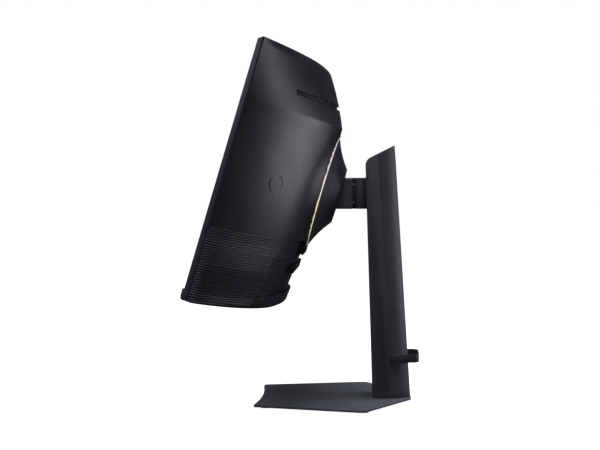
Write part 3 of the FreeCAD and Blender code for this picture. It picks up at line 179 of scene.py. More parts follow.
def new_surface(name):
    material = bpy.data.materials.new(name)
    material.use_nodes = True
    tree = material.node_tree
    tree.nodes.clear()
    shader = add(tree, "ShaderNodeBsdfPrincipled")
    add(tree, "ShaderNodeOutputMaterial", {"Surface": shader.outputs[0]})
    return material, tree, shader


def noise(tree, place, size, detail):
    """Noise with features of a size in mm."""
    inputs = {0: place, "Scale": 1 / (size * MM), "Detail": detail}
    return add(tree, "ShaderNodeTexNoise", inputs).outputs["Fac"]


def ranged(tree, value, source, target, **settings):
    """Maps a value from one (low, high) range to another."""
    inputs = {0: value, 1: source[0], 2: source[1], 3: target[0], 4: target[1]}
    return add(tree, "ShaderNodeMapRange", inputs, **settings).outputs[0]


def bump(tree, height, depth, strength=0.6):
    """Normals of a relief whose full depth is in mm."""
    inputs = {"Strength": strength, "Distance": depth * MM, "Height": height}
    return add(tree, "ShaderNodeBump", inputs).outputs[0]


def maths(tree, operation, *values):
    return add(tree, "ShaderNodeMath", dict(enumerate(values)), operation=operation).outputs[0]


def rib_phase(tree, height, pitch):
    """Distance from the middle of a rib's land, in shares of the pitch: 0 there and 0.5 in the groove."""
    part = maths(tree, "FRACT", maths(tree, "DIVIDE", height, pitch))
    return maths(tree, "ABSOLUTE", maths(tree, "SUBTRACT", part, 0.5))


def wire(tree, shader, sockets):
    for key, socket in sockets.items():
        tree.links.new(socket, shader.inputs[key])


def grained(name, dark, light, grain, depth, rough, spread=0.06, metallic=0.0, ior=1.5, stretch=(1, 1, 1)):
    """Fine-grained surface: grain size and depth in mm, colours in hex, rough is the middle roughness."""
    material, tree, shader = new_surface(name)
    place = add(tree, "ShaderNodeTexCoord").outputs["Object"]
    place = add(tree, "ShaderNodeMapping", {0: place, "Scale": stretch}).outputs[0]
    fine = noise(tree, place, grain, 3.0)
    cloud = noise(tree, place, CLOUD, 2.0)
    mottle = add(tree, "ShaderNodeMix", {0: FINE_SHARE, 2: cloud, 3: fine}, data_type="FLOAT").outputs[0]
    ramp = add(tree, "ShaderNodeValToRGB", {0: mottle})
    for stop, position, colour in zip(ramp.color_ramp.elements, TONES, (dark, light)):
        stop.position = position
        stop.color = srgb(colour)
    gloss = ranged(tree, mottle, NOISE, (rough - spread, rough + spread))
    wire(tree, shader, {"Base Color": ramp.outputs[0], "Roughness": gloss, "Normal": bump(tree, fine, depth)})
    shader.inputs["Metallic"].default_value = metallic
    if not metallic:
        shader.inputs["IOR"].default_value = ior
    return material


def ribbed_plastic(pitch):
    """Moulded ABS with cut ribs, and painted light: a painted highlight on each land, painted shade in each
    groove.
    """
    material, tree, shader = new_surface("abs_moulded_ribbed")
    place = add(tree, "ShaderNodeTexCoord").outputs["Object"]
    grain = noise(tree, place, 0.8, 3.0)
    offset = add(tree, "ShaderNodeVectorMath", {0: place, 1: TILT_AXIS + HEAD_UP * SPLIT * MM},
                 operation="SUBTRACT").outputs[0]
    rise = add(tree, "ShaderNodeVectorMath", {0: offset, 1: HEAD_UP},
               operation="DOT_PRODUCT").outputs["Value"]
    # the colour's mask, by the rib's phase: painted highlight on the land, painted shade in the groove
    land = ranged(tree, rib_phase(tree, rise, pitch), RIB_PAINTED_HIGHLIGHT, (1.0, 0.0))
    painted_rib_light_and_shade = add(tree, "ShaderNodeMix", {0: land, 6: srgb("#030304"), 7: srgb("#3d3e44")},
               data_type="RGBA").outputs[2]
    gloss = ranged(tree, grain, NOISE, (0.42, 0.52))
    wire(tree, shader, {"Base Color": painted_rib_light_and_shade, "Roughness": gloss, "Normal": bump(tree, grain, 0.05)})
    return material


def lit_acrylic(settings):
    """Opal acrylic, moulded as one ring and lit from behind: the colour drifts from its top to its foot."""
    material, tree, shader = new_surface("opal_acrylic_moulded_lit")
    height = add(tree, "ShaderNodeAttribute", attribute_name="ring_height").outputs["Fac"]
    ramp = add(tree, "ShaderNodeValToRGB", {0: height})
    stops = ramp.color_ramp.elements
    stops[0].position, stops[0].color = 0.03, srgb("#6b6a66")
    stops[1].position, stops[1].color = 1.0, (*settings.ring_top, 1)
    stops.new(0.14).color = (*settings.ring_low, 1)
    stops.new(0.40).color = srgb("#efe2ae")
    stops.new(0.66).color = srgb("#ecdfe4")
    grain = add(tree, "ShaderNodeTexNoise", {"Scale": 1 / (4 * MM)}).outputs["Fac"]
    wire(tree, shader, {"Emission Color": ramp.outputs[0], "Normal": bump(tree, grain, 0.05, 0.2)})
    shader.inputs["Base Color"].default_value = srgb("#d8d6d2")
    shader.inputs["Roughness"].default_value = 0.35
    shader.inputs["Emission Strength"].default_value = settings.ring_power
    return material


def screen_glass():
    """Anti-glare coated glass over a switched-off panel: near black, with a soft grey-blue reflection."""
    material, tree, shader = new_surface("anti_glare_glass_etched")
    place = add(tree, "ShaderNodeTexCoord").outputs["Object"]
    etch = noise(tree, place, 0.9, 2.0)
    haze = ranged(tree, etch, (0.0, 1.0), (0.24, 0.34))
    wire(tree, shader, {"Roughness": haze, "Normal": bump(tree, etch, 0.03, 0.25)})
    shader.inputs["Base Color"].default_value = srgb("#0b0c0e")
    shader.inputs["Coat Weight"].default_value = 0.25
    shader.inputs["Coat Roughness"].default_value = 0.2
    return material


def make_finishes(colours, ribs):
    """Every finish on the monitor, by plain name."""
    return {
        # ABS moulded in a spark-eroded tool: an even satin black that spreads a light into a wide band
        "shell": grained("abs_moulded_spark_grain", "#191a1e", "#202126", 0.9, 0.06, 0.37),
        # the same ABS with cut ribs, with a painted highlight on every land and painted shade in every groove
        "ribbed": ribbed_plastic(ribs.pitch),
        # ABS strip with a drawn hair-line grain: lighter, with short streaks along its run
        "strip": grained("abs_moulded_hairline", "#4c4e56", "#60626a", 0.7, 0.12, 0.48, stretch=(1, 1, 0.12)),
        # satin black ABS of the hub, a finer tool finish than the shell's
        "hub": grained("abs_moulded_satin", "#3e4046", "#4a4b51", 0.6, 0.03, 0.42),
        # powder-coated steel: a slightly pebbled grey-black skin with soft broad gloss
        "coated": grained("steel_powder_coated", "#4b4d53", "#57595f", 1.1, 0.07, 0.60, ior=1.34),
        # the column's powder coat on the base plate, with a softer gloss, drawn a shade lighter as painted
        # light on the flat top
        "plate_coat_painted_lit": grained("steel_powder_coated_plate", "#5c5e64", "#696b71", 1.2, 0.07, 0.66, ior=1.30),
        # zinc casting, painted: tighter and a little darker than the powder coat
        "casting": grained("zinc_cast_painted", "#484a50", "#55575d", 0.8, 0.05, 0.44),
        # glass-filled nylon of the clip: dry, with a mottled skin where the glass floats up
        "nylon": grained("nylon_glass_filled_moulded", "#34363b", "#3f4147", 0.7, 0.08, 0.5),
        # nickel-plated pressed steel of the sockets' shells
        "nickel": grained("steel_nickel_plated", "#9a9a96", "#b4b4b0", 1.5, 0.02, 0.28, metallic=1.0),
        # zinc-plated steel screws and shafts, turned: bluish grey with fine tool marks
        "screw": grained("steel_zinc_plated_turned", "#7d7f82", "#95979a", 0.5, 0.03, 0.34, metallic=1.0,
                         stretch=(1, 1, 4)),
        "black_screw": grained("steel_black_oxide", "#1c1c1d", "#28282a", 0.5, 0.03, 0.38, metallic=0.6),
        "aluminium": grained("aluminium_extruded", "#8f9194", "#a4a6a8", 0.9, 0.03, 0.35, metallic=1.0,
                             stretch=(1, 1, 0.1)),
        "spring": grained("spring_steel_rolled", "#6c6f74", "#84878c", 0.8, 0.02, 0.25, metallic=1.0),
        "acetal": grained("acetal_moulded", "#c9c8c2", "#d8d7d2", 0.8, 0.03, 0.34),
        "bronze": grained("bronze_sintered", "#8a6a3c", "#a3814d", 0.4, 0.06, 0.42, metallic=1.0),
        # moulded nitrile rubber of the feet: matt, with a dusty bloom
        "rubber": grained("rubber_moulded", "#121213", "#1b1b1c", 0.6, 0.08, 0.72),
        "board": grained("glass_epoxy_board_masked", "#10301f", "#17402a", 1.6, 0.05, 0.4),
        "sheet_metal": grained("steel_galvanised_pressed", "#8d9092", "#a2a5a7", 9.0, 0.03, 0.36,
                               metallic=1.0),
        "film": grained("polyester_film_drawn", "#c6c8c9", "#d3d5d6", 2.0, 0.01, 0.22),
        # black ABS for the parts in recesses and under the head, drawn darker than the shell as painted
        # recess shade
        "pocket": grained("abs_moulded_pocket", "#0d0d0e", "#141415", 0.6, 0.04, 0.5),
        "badge": grained("abs_badge_satin", "#101012", "#18181a", 0.5, 0.02, 0.26),
        "led_lens": grained("acrylic_clear_moulded", "#a9b4c4", "#bcc6d2", 1.0, 0.01, 0.12),
        "glass": screen_glass(),
        "lit": lit_acrylic(colours),
    }


FINISH = {}


# ---------------------------------------------------------------- mesh helpers
SAME_PLACE = 0.01           # points closer than this are one, in mm
CAD_PLACE = 0.002           # the same on the model's own meshes, which have finer faces
FLAT_TURN = 0.4             # faces that turn less than this are one flat face, in degrees
EDGE_TURN = 32.0            # edges that turn more than this are broken


def linked(name, data):
    """A new object in the scene."""
    obj = bpy.data.objects.new(name, data)
    bpy.context.scene.collection.objects.link(obj)
    return obj


def piece(name, mesh, finish, body, *nodes):
    """Names a finished mesh, gives it its finish, and says which body and CAD nodes it stands for."""
    obj = linked(name, mesh)
    mesh.materials.clear()
    mesh.materials.append(FINISH[finish])
    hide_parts(*nodes)
    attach(obj, body)


def to_mesh(bm, name, recalc=True):
    bmesh.ops.remove_doubles(bm, verts=bm.verts, dist=SAME_PLACE * MM)
    if recalc:
        bmesh.ops.recalc_face_normals(bm, faces=bm.faces)
    return plain(bm, name)


def plain(bm, name):
    """The working mesh as a named mesh; the working mesh is freed."""
    mesh = bpy.data.meshes.new(name)
    bm.to_mesh(mesh)
    bm.free()
    return mesh


def evaluated(obj):
    """The object's mesh with its modifiers applied; the object itself is removed."""
    bpy.context.view_layer.update()
    graph = bpy.context.evaluated_depsgraph_get()
    mesh = bpy.data.meshes.new_from_object(obj.evaluated_get(graph))
    bpy.data.objects.remove(obj)
    return mesh


def worked(mesh, kind, **settings):
    """Runs one modifier on a mesh and returns the result."""
    obj = linked("work", mesh)
    modifier = obj.modifiers.new(kind, kind)
    for key, value in settings.items():
        setattr(modifier, key, value)
    return evaluated(obj)


def cut(mesh, tool, **settings):
    """Cuts the mesh with another closed mesh."""
    obj = linked(tool.name, tool)
    mesh = worked(mesh, "BOOLEAN", object=obj, operation="DIFFERENCE", solver="MANIFOLD", **settings)
    bpy.data.objects.remove(obj)
    return mesh


def walled(mesh, wall):
    """Gives a skin a wall of that many mm on its inner side."""
    return worked(mesh, "SOLIDIFY", thickness=wall * MM, offset=-1.0, use_even_offset=False)


def soften(mesh, angle):
    """Smooth faces with sharp edges where the surface turns more than the angle, in degrees."""
    mesh.polygons.foreach_set("use_smooth", [True] * len(mesh.polygons))
    mesh.set_sharp_from_angle(angle=math.radians(angle))


def grid_mesh(points):
    """Quads over rows of points that lie on the back of the head, their faces turned outwards."""
    bm = bmesh.new()
    rows = [[bm.verts.new(p) for p in row] for row in points]
    for low, high in zip(rows, rows[1:]):
        for quad in zip(low, low[1:], high[1:], high):
            bm.faces.new(quad)
    bmesh.ops.recalc_face_normals(bm, faces=bm.faces)
    outward = sum(face.normal.dot(HEAD_BACK) * face.calc_area() for face in bm.faces)
    if outward < 0:
        bmesh.ops.reverse_faces(bm, faces=bm.faces)
    return bm


def box_mesh(low, high):
    """Upright box in head millimetres, for cutting."""
    bm = bmesh.new()
    spots = [(x, y, z) for x in (low[0], high[0]) for y in (low[1], high[1]) for z in (low[2], high[2])]
    corners = [bm.verts.new(head(*spot)) for spot in spots]
    bmesh.ops.convex_hull(bm, input=corners)
    return to_mesh(bm, "box")


def spun(name, profile, steps=160):
    """Solid turned about the hub's axis: the profile is a closed loop of (radius, depth) in mm."""
    bm = bmesh.new()
    turns = [2 * math.pi * i / steps for i in range(steps)]
    rings = []
    for radius, depth in profile:
        rings.append([bm.verts.new(head(radius * math.cos(t), depth, radius * math.sin(t))) for t in turns])
    for a, b in zip(rings, rings[1:] + rings[:1]):
        for i in range(steps):
            j = (i + 1) % steps
            bm.faces.new((a[i], a[j], b[j], b[i]))
    bmesh.ops.dissolve_degenerate(bm, dist=0.005 * MM, edges=bm.edges)
    return to_mesh(bm, name)


def plug(name, radius, front=100.0, rear=190.0):
    """Round plug on the hub's axis that reaches through the casing's back, for cutting."""
    return spun(name, [(AXIS, front), (radius, front), (radius, rear), (AXIS, rear)])


def arc_through(start, middle, end, count):
    """Points along the circle through three (a, b) points."""
    (ax, ay), (bx, by), (cx, cy) = start, middle, end
    d = 2 * (ax * (by - cy) + bx * (cy - ay) + cx * (ay - by))
    sa, sb, sc = ax * ax + ay * ay, bx * bx + by * by, cx * cx + cy * cy
    ox = (sa * (by - cy) + sb * (cy - ay) + sc * (ay - by)) / d
    oy = (sa * (cx - bx) + sb * (ax - cx) + sc * (bx - ax)) / d
    radius = math.hypot(ax - ox, ay - oy)
    turns = [math.atan2(y - oy, x - ox) for x, y in (start, middle, end)]
    for i in (1, 2):
        while turns[i] - turns[i - 1] > math.pi:
            turns[i] -= 2 * math.pi
        while turns[i] - turns[i - 1] < -math.pi:
            turns[i] += 2 * math.pi
    steps = [turns[0] + (turns[2] - turns[0]) * i / count for i in range(count + 1)]
    return [(ox + radius * math.cos(t), oy + radius * math.sin(t)) for t in steps]


def smoothstep(value, low, high):
    t = min(max((value - low) / (high - low), 0.0), 1.0)
    return t * t * (3 - 2 * t)


def refine(node, finish, bevel):
    """A CAD node's own shape with its edges broken and its flat faces whole, as a finished piece."""
    source = frame["nodes"][node]
    bm = bmesh.new()
    bm.from_mesh(source.data)
    bm.transform(source.matrix_world)
    bmesh.ops.remove_doubles(bm, verts=bm.verts, dist=CAD_PLACE * MM)
    bmesh.ops.dissolve_limit(bm, angle_limit=math.radians(FLAT_TURN), verts=bm.verts, edges=bm.edges)
    mesh = plain(bm, node)
    if bevel:
        mesh = worked(mesh, "BEVEL", width=bevel * MM, segments=2, limit_method="ANGLE",
                      angle_limit=math.radians(EDGE_TURN), harden_normals=False, use_clamp_overlap=True)
    soften(mesh, 30.0)
    piece(node + "_finished", mesh, finish, body_of(node), node)


def body_of(node):
    return frame["nodes"][node].parent.name.split(":", 1)[1]


# ---------------------------------------------------------------- rear casing: smooth shell and ribbed cover
def side_front(x):
    """Depth of the casing's front edge, where it meets the middle frame."""
    return SAG - SCREEN_RADIUS + math.sqrt((SCREEN_RADIUS + FRAME_BACK) ** 2 - x * x)


SIDE_REAR = side_front(HALF_WIDTH) + RIM


def rear_depth(x, middle):
    """Depth at x of the arc through both side rims and the middle of the back."""
    rise = middle - SIDE_REAR
    radius = (HALF_WIDTH ** 2 + rise ** 2) / (2 * rise)
    return middle - radius + math.sqrt(radius ** 2 - x * x)


SLOPE = arc_through((REAR, HALF_HEIGHT - 97.9), (REAR - 20.4, HALF_HEIGHT - 55.5),
                    (REAR - 48.0, HALF_HEIGHT - 10.0), 40)
TOP_CORNER = arc_through(SLOPE[-1], (REAR - 57.0, HALF_HEIGHT - 4.1), (REAR - 73.0, HALF_HEIGHT), 10)
LOW_CORNER = arc_through((REAR - 9.5, 11.5 - HALF_HEIGHT), (REAR - 13.0, 3.2 - HALF_HEIGHT),
                         (REAR - 24.0, -HALF_HEIGHT), 30)
VENT = (HALF_HEIGHT - 68.0, HALF_HEIGHT - 61.0)
VENT_HALF = HALF_WIDTH - 98.5
VENT_WALL = 0.3             # how far the slot's walls lean out
VENT_END = 0.4              # and its ends
PORTS_HIGH = SPLIT - 44.0   # the opening over the sockets: its top
PORTS_HEIGHT = 15.0
PORTS_HALF = 88.0
PORTS_DEPTH = (100.0, 180.0)
SEAT_FOOT = 124.0           # the cone that rises to the light ring
SEAT_HEIGHT = 13.0
SEAT_TOP = RING_BACK - 0.9
SEAT_REACH = SEAT_FOOT + 30.0
LENS_SEAT = RING_BACK - 2.6
LENS_LEDGE = RING_OUTER - 3.8
DISH_FLOOR = RING_BACK - 6.5
SCOOP = ((165.0, SPLIT), (215.0, -199.0))
SCOOP_SILL = -184.0
SCOOP_FLOOR = (REAR - 5.7, REAR - 15.8)
SCOOP_RAMP = 22.0           # the scoop's sides ease out over this
SCOOP_LIP = 1.0             # and start this far outside its edge
SILL_RUN = 1.2
SPLIT_GAP = 1.2             # depth of the shadow gap between shell and cover
SPLIT_RUN = 1.6             # height over which it closes


def middle_depth(z):
    """Depth of the back in the middle of the head, at height z on the smooth shell."""
    if z <= SLOPE[0][1]:
        return REAR
    path = SLOPE + TOP_CORNER[1:]
    for (a, low), (b, high) in zip(path, path[1:]):
        if z <= high:
            return a + (b - a) * (z - low) / max(high - low, 1e-6)
    return path[-1][0]


def seat_depth(x, z, base, blend):
    """The back with the cone that rises to the light ring, joined by a fillet (a smooth maximum)."""
    radius = math.hypot(x, z)
    if radius >= SEAT_REACH:
        return base
    cone = SEAT_TOP - (radius - RING_OUTER) * SEAT_HEIGHT / (SEAT_FOOT - RING_OUTER)
    cone = min(cone, SEAT_TOP)
    gap = max(blend - abs(base - cone), 0.0) / blend
    return max(base, cone) + gap * gap * blend / 4


def shell_columns(count):
    """Stations across half the back, closer together near the side rim and at the vent's end."""
    even = [HALF_WIDTH * math.sin(math.pi / 2 * i / count) for i in range(count + 1)]
    return sorted(set(even + [VENT_HALF, VENT_HALF + VENT_END]))


def shell_rows(count):
    """Heights of the shell's rows: even up to the slope, then the arcs' own points and the vent's walls."""
    even = [SPLIT + (SLOPE[0][1] - SPLIT) * i / count for i in range(count + 1)]
    walls = [VENT[0] - VENT_WALL, VENT[0], VENT[1], VENT[1] + VENT_WALL]
    return sorted(set(even + [z for _, z in SLOPE + TOP_CORNER[1:]] + walls))


def mirrored(half):
    """Stations across the whole back from those of one half, which start in the middle."""
    return [-x for x in reversed(half[1:])] + half


def rimmed(points, z, half=HALF_WIDTH, lap=0.0):
    """A row of points between the front edges of the two side rims."""
    front = side_front(HALF_WIDTH) + lap
    return [head(-half, front, z)] + points + [head(half, front, z)]


def build_shell(sizes):
    """Smooth rear shell: a skin over the rear arcs, with its vent and the ring's seat, then given a wall."""
    across = mirrored(shell_columns(sizes.columns))
    rows = []
    for z in shell_rows(sizes.rows):
        row = []
        for x in across:
            depth = seat_depth(x, z, rear_depth(x, middle_depth(z)), sizes.blend)
            if VENT[0] <= z <= VENT[1] and abs(x) <= VENT_HALF:
                depth -= sizes.slot_depth
            row.append(head(x, depth, z))
        rows.append(rimmed(row, z))
    rows.append(rimmed([head(x, side_front(x) + LAP, HALF_HEIGHT) for x in across], HALF_HEIGHT))
    bm = grid_mesh(rows)
    centres = {face: face.calc_center_median() for face in bm.faces}
    floor = [face for face, centre in centres.items()
             if VENT[0] < head_height(centre) < VENT[1] and abs(centre.x) < VENT_HALF * MM]
    bmesh.ops.delete(bm, geom=floor, context="FACES")
    mesh = walled(to_mesh(bm, "rear_shell_skin", recalc=False), WALL)
    mesh = cut(mesh, plug("ring_bore", RING_OUTER + 0.2))
    dish = spun("ring_dish", [(AXIS, DISH_FLOOR - WALL), (RING_OUTER + 0.1, DISH_FLOOR - WALL),
                              (RING_OUTER + 0.1, LENS_SEAT), (LENS_LEDGE, LENS_SEAT),
                              (LENS_LEDGE, DISH_FLOOR), (AXIS, DISH_FLOOR)])
    both = bmesh.new()
    both.from_mesh(mesh)
    both.from_mesh(dish)
    mesh = plain(both, "rear_shell_finished")
    soften(mesh, 28.0)
    piece("rear_shell_finished", mesh, "shell", "display_head", "rear_shell")


def scoop_half(z):
    (top, high), (low, foot) = SCOOP
    return top + (low - top) * (high - z) / (high - foot)


def sill_height(x):
    """The scoop's lower edge: an arc, highest in the middle."""
    reach, foot = SCOOP[1]
    rise = SCOOP_SILL - foot
    radius = (reach ** 2 + rise ** 2) / (2 * rise)
    return SCOOP_SILL - radius + math.sqrt(max(radius ** 2 - x * x, 0.0))


def cover_middle(z):
    """Depth of the back in the middle of the head, on the lower cover."""
    depth, height = LOW_CORNER[0]
    if z >= height:
        return REAR + (depth - REAR) * (SPLIT - z) / (SPLIT - height)
    for (a, top), (b, foot) in zip(LOW_CORNER, LOW_CORNER[1:]):
        if z >= foot:
            return a + (b - a) * (top - z) / max(top - foot, 1e-6)
    return LOW_CORNER[-1][0]


def cover_depth(x, z):
    """Depth of the lower cover's skin, with the shadow gap at the split, the scoop and its sill."""
    base = rear_depth(x, cover_middle(z)) - SPLIT_GAP * (1.0 - smoothstep(SPLIT - z, 0.0, SPLIT_RUN))
    share = (SCOOP[0][1] - z) / (SCOOP[0][1] - SCOOP[1][1])
    floor = rear_depth(x, SCOOP_FLOOR[0] + (SCOOP_FLOOR[1] - SCOOP_FLOOR[0]) * share)
    ramp = min(max((scoop_half(z) - abs(x) + SCOOP_LIP) / SCOOP_RAMP, 0.0), 1.0)
    inside = ramp * (2.0 - ramp) * smoothstep(z - sill_height(x), 0.0, SILL_RUN)
    return base + (min(floor, base) - base) * inside


def new_geometry_tree(name, kinds):
    """An empty node tree that takes a mesh, the named inputs and a material; with its group inputs."""
    tree = bpy.data.node_groups.new(name, "GeometryNodeTree")
    for title, kind in (("Geometry", "Geometry"), *kinds.items(), ("Material", "Material")):
        tree.interface.new_socket(title, in_out="INPUT", socket_type="NodeSocket" + kind)
    tree.interface.new_socket("Geometry", in_out="OUTPUT", socket_type="NodeSocketGeometry")
    return tree, add(tree, "NodeGroupInput").outputs


def end_geometry_tree(tree, geometry, material):
    """Makes the result one plain mesh in its material, and hands it out."""
    real = add(tree, "GeometryNodeRealizeInstances", {0: geometry}).outputs[0]
    done = add(tree, "GeometryNodeSetMaterial", {"Geometry": real, "Material": material}).outputs[0]
    add(tree, "NodeGroupOutput", {0: done})


def stored(tree, name):
    """A number stored on the mesh's points."""
    node = add(tree, "GeometryNodeInputNamedAttribute", {"Name": name}, data_type="FLOAT")
    return node.outputs["Attribute"]


def rib_tree(name):
    """Node tree that presses ribs into a skin: grooves at a pitch of the stored height, along the normal."""
    tree, given = new_geometry_tree(name, {"Pitch": "Float", "Depth": "Float"})
    wave = rib_phase(tree, stored(tree, "rise"), given["Pitch"])
    groove = ranged(tree, wave, RIB_GROOVE, (0.0, -1.0), interpolation_type="SMOOTHSTEP")
    amount = maths(tree, "MULTIPLY", groove, stored(tree, "ribbed"))
    amount = maths(tree, "MULTIPLY", amount, given["Depth"])
    normal = add(tree, "GeometryNodeInputNormal").outputs[0]
    move = add(tree, "ShaderNodeVectorMath", {0: normal, "Scale": amount}, operation="SCALE").outputs[0]
    pressed = add(tree, "GeometryNodeSetPosition", {"Geometry": given["Geometry"], "Offset": move}).outputs[0]
    end_geometry_tree(tree, pressed, given["Material"])
    return tree


def run_tree(tree, mesh, values):
    """Runs a node tree on a mesh with values for its named inputs, and returns the plain mesh."""
    obj = linked("tree_work", mesh)
    modifier = obj.modifiers.new("tree", "NODES")
    modifier.node_group = tree
    for item in tree.interface.items_tree:
        if item.in_out == "INPUT" and item.name in values:
            modifier[item.identifier] = values[item.name]
    return evaluated(obj)


RIB_ROWS = 8                # rows of faces to one rib
INNER_COLUMNS = 26          # columns across half of the scoop
OUTER_COLUMNS = 20          # columns from the scoop to the side rim
EDGE_COLUMNS = (3.75, 2.5, 1.25)    # closer ones just inside the scoop's edge, in mm


def cover_columns(z):
    """Stations across half the cover: they follow the scoop's edge down to its foot."""
    edge = scoop_half(max(z, SCOOP[1][1]))
    inner = [i / INNER_COLUMNS for i in range(INNER_COLUMNS + 1)]
    inner = sorted(inner + [1 - gap / SCOOP[0][0] for gap in EDGE_COLUMNS])
    outer = [i / OUTER_COLUMNS for i in range(1, OUTER_COLUMNS + 1)]
    return [u * edge for u in inner] + [edge + (HALF_WIDTH - edge) * u for u in outer]


def rib_strength(x, z):
    """How deep the ribs are pressed: none at the split, the bottom edge, the side rims and the sill."""
    fade = smoothstep(z + HALF_HEIGHT, 0.4, 4.0) * smoothstep(SPLIT - z, 1.4, 2.6)
    rim = smoothstep(HALF_WIDTH - abs(x), 0.5, 6.0)
    sill = smoothstep(sill_height(x) - z, -1.5, 0.0) * smoothstep(SCOOP[1][0] - abs(x), 0.0, 3.0)
    return fade * rim * (1.0 - sill)


def build_cover(sizes):
    """Ribbed lower cover: a dense skin with the scoop, ribs pressed in by a node tree, then given a wall."""
    corner_high = LOW_CORNER[0][1]
    count = int((SPLIT - corner_high) / (sizes.pitch / MM) * RIB_ROWS)
    heights = [SPLIT + (corner_high - SPLIT) * i / count for i in range(count + 1)]
    heights += [z for _, z in LOW_CORNER[1:]]
    rows, rise, ribbed = [], [], []
    for z in heights:
        across = mirrored(cover_columns(z))
        rows.append(rimmed([head(x, cover_depth(x, z), z) for x in across], z))
        rise += [(z - SPLIT) * MM] * len(rows[-1])
        ribbed += [rib_strength(x, z) for x in [-HALF_WIDTH] + across + [HALF_WIDTH]]
    inset = HALF_WIDTH - 0.2    # keeps the wall's bottom corners inside the side rims
    edge = [head(max(-inset, min(inset, x)), side_front(x) + LAP, -HALF_HEIGHT) for x in across]
    rows.append(rimmed(edge, -HALF_HEIGHT, inset, 0.05))
    rise += [0.0] * len(rows[-1])
    ribbed += [0.0] * len(rows[-1])
    bm = grid_mesh(rows)
    layer_rise = bm.verts.layers.float.new("rise")
    layer_ribbed = bm.verts.layers.float.new("ribbed")
    for vert, height, strength in zip(bm.verts, rise, ribbed):
        vert[layer_rise] = height
        vert[layer_ribbed] = strength
    mesh = to_mesh(bm, "lower_cover_skin", recalc=False)
    values = {"Pitch": sizes.pitch, "Depth": sizes.depth, "Material": FINISH["ribbed"]}
    mesh = walled(run_tree(rib_tree("pressed_ribs"), mesh, values), COVER_WALL)
    mesh = cut(mesh, box_mesh((-PORTS_HALF, PORTS_DEPTH[0], PORTS_HIGH - PORTS_HEIGHT),
                              (PORTS_HALF, PORTS_DEPTH[1], PORTS_HIGH)))
    mesh = cut(mesh, plug("hub_skirt", RING_OUTER + 0.3))
    for vert in mesh.vertices:
        # the wall's inner face stays between the side rims
        vert.co.x = max(-HALF_WIDTH * MM, min(HALF_WIDTH * MM, vert.co.x))
    soften(mesh, 40.0)
    piece("lower_rear_cover_ribbed", mesh, "ribbed", "display_head", "lower_rear_cover")


# ---------------------------------------------------------------- hub and light ring
def build_hub():
    """Flared hub: one spun wall with a rolled face edge, cut for the arm."""
    base = RING_BACK - 6.4
    face = RING_BACK + 28.5
    foot = RING_OUTER - 4.2
    inner_foot = foot - 2.5
    inner_face = RING_BACK + 26.0
    outer = arc_through((foot, RING_BACK + 1.0), (72.0, RING_BACK + 12.9), (50.3, RING_BACK + 27.6), 26)
    roll = arc_through(outer[-1], (49.6, RING_BACK + 28.3), (48.6, face), 4)
    inner = arc_through((47.0, inner_face), (70.8, RING_BACK + 10.4), (inner_foot, RING_BACK - 1.0), 20)
    profile = [(foot, base)] + outer + roll[1:] + [(2 * AXIS, face), (2 * AXIS, inner_face)]
    profile += inner + [(inner_foot, base)]
    mesh = spun("hub_cover_skin", profile)
    arm_half, arm_low, arm_high = 25.5, -30.7, 37.0
    mesh = cut(mesh, box_mesh((-arm_half, RING_BACK + 18.5, arm_low), (arm_half, RING_BACK + 40, arm_high)))
    soften(mesh, 28.0)
    piece("hub_cover_flared", mesh, "hub", "display_head", "hub_cover")


def build_ring():
    """Opal light ring, with the height round the ring stored for its colour."""
    front, chamfer, outer = RING_BACK - 2.4, RING_BACK - 0.5, RING_OUTER - 0.1
    profile = [(RING_INNER, front), (outer, front), (outer, chamfer), (outer - 0.4, RING_BACK),
               (RING_INNER + 0.5, RING_BACK), (RING_INNER, chamfer)]
    mesh = spun("light_ring_lens_lit", profile, 240)
    shade = mesh.attributes.new("ring_height", "FLOAT", "POINT")
    values = [(head_height(v.co) / RING_OUTER + 1) / 2 for v in mesh.vertices]
    shade.data.foreach_set("value", values)
    soften(mesh, 50.0)
    piece("light_ring_lens_lit", mesh, "lit", "display_head", "light_ring_lens")


# ---------------------------------------------------------------- repeated small parts by node tree
def instance_tree(name):
    """Node tree that sets one small shape, in metres, on every point of a mesh, turned by a stored angle."""
    tree, given = new_geometry_tree(name, {"Shape": "Object", "Tilt": "Vector"})
    shape = add(tree, "GeometryNodeObjectInfo", {"Object": given["Shape"]}).outputs["Geometry"]
    own = add(tree, "ShaderNodeCombineXYZ", {"Z": stored(tree, "turn")}).outputs[0]
    placed = add(tree, "GeometryNodeInstanceOnPoints", {"Points": given["Geometry"], "Instance": shape,
                                                        "Rotation": given["Tilt"]}).outputs[0]
    turned = add(tree, "GeometryNodeRotateInstances", {"Instances": placed, "Rotation": own,
                                                       "Local Space": True}).outputs[0]
    end_geometry_tree(tree, turned, given["Material"])
    return tree


def scattered(name, points, turns, shape, tilt, finish):
    """One plain mesh of a small shape set on points, turned about its own axis and then tilted."""
    seeds = bpy.data.meshes.new(name)
    seeds.from_pydata([tuple(p) for p in points], [], [])
    angle = seeds.attributes.new("turn", "FLOAT", "POINT")
    angle.data.foreach_set("value", turns)
    model = linked(name + "_shape", shape)
    values = {"Shape": model, "Tilt": tilt, "Material": FINISH[finish]}
    mesh = run_tree(instance_tree(name + "_tree"), seeds, values)
    bpy.data.objects.remove(model)
    return mesh


CROWN = ((0.98, 0.0), (1.0, -0.25), (0.86, -0.82), (0.55, -1.0))    # shares of a head's radius and height
CROSS = 0.24                # width of a cross recess, as a share of its length


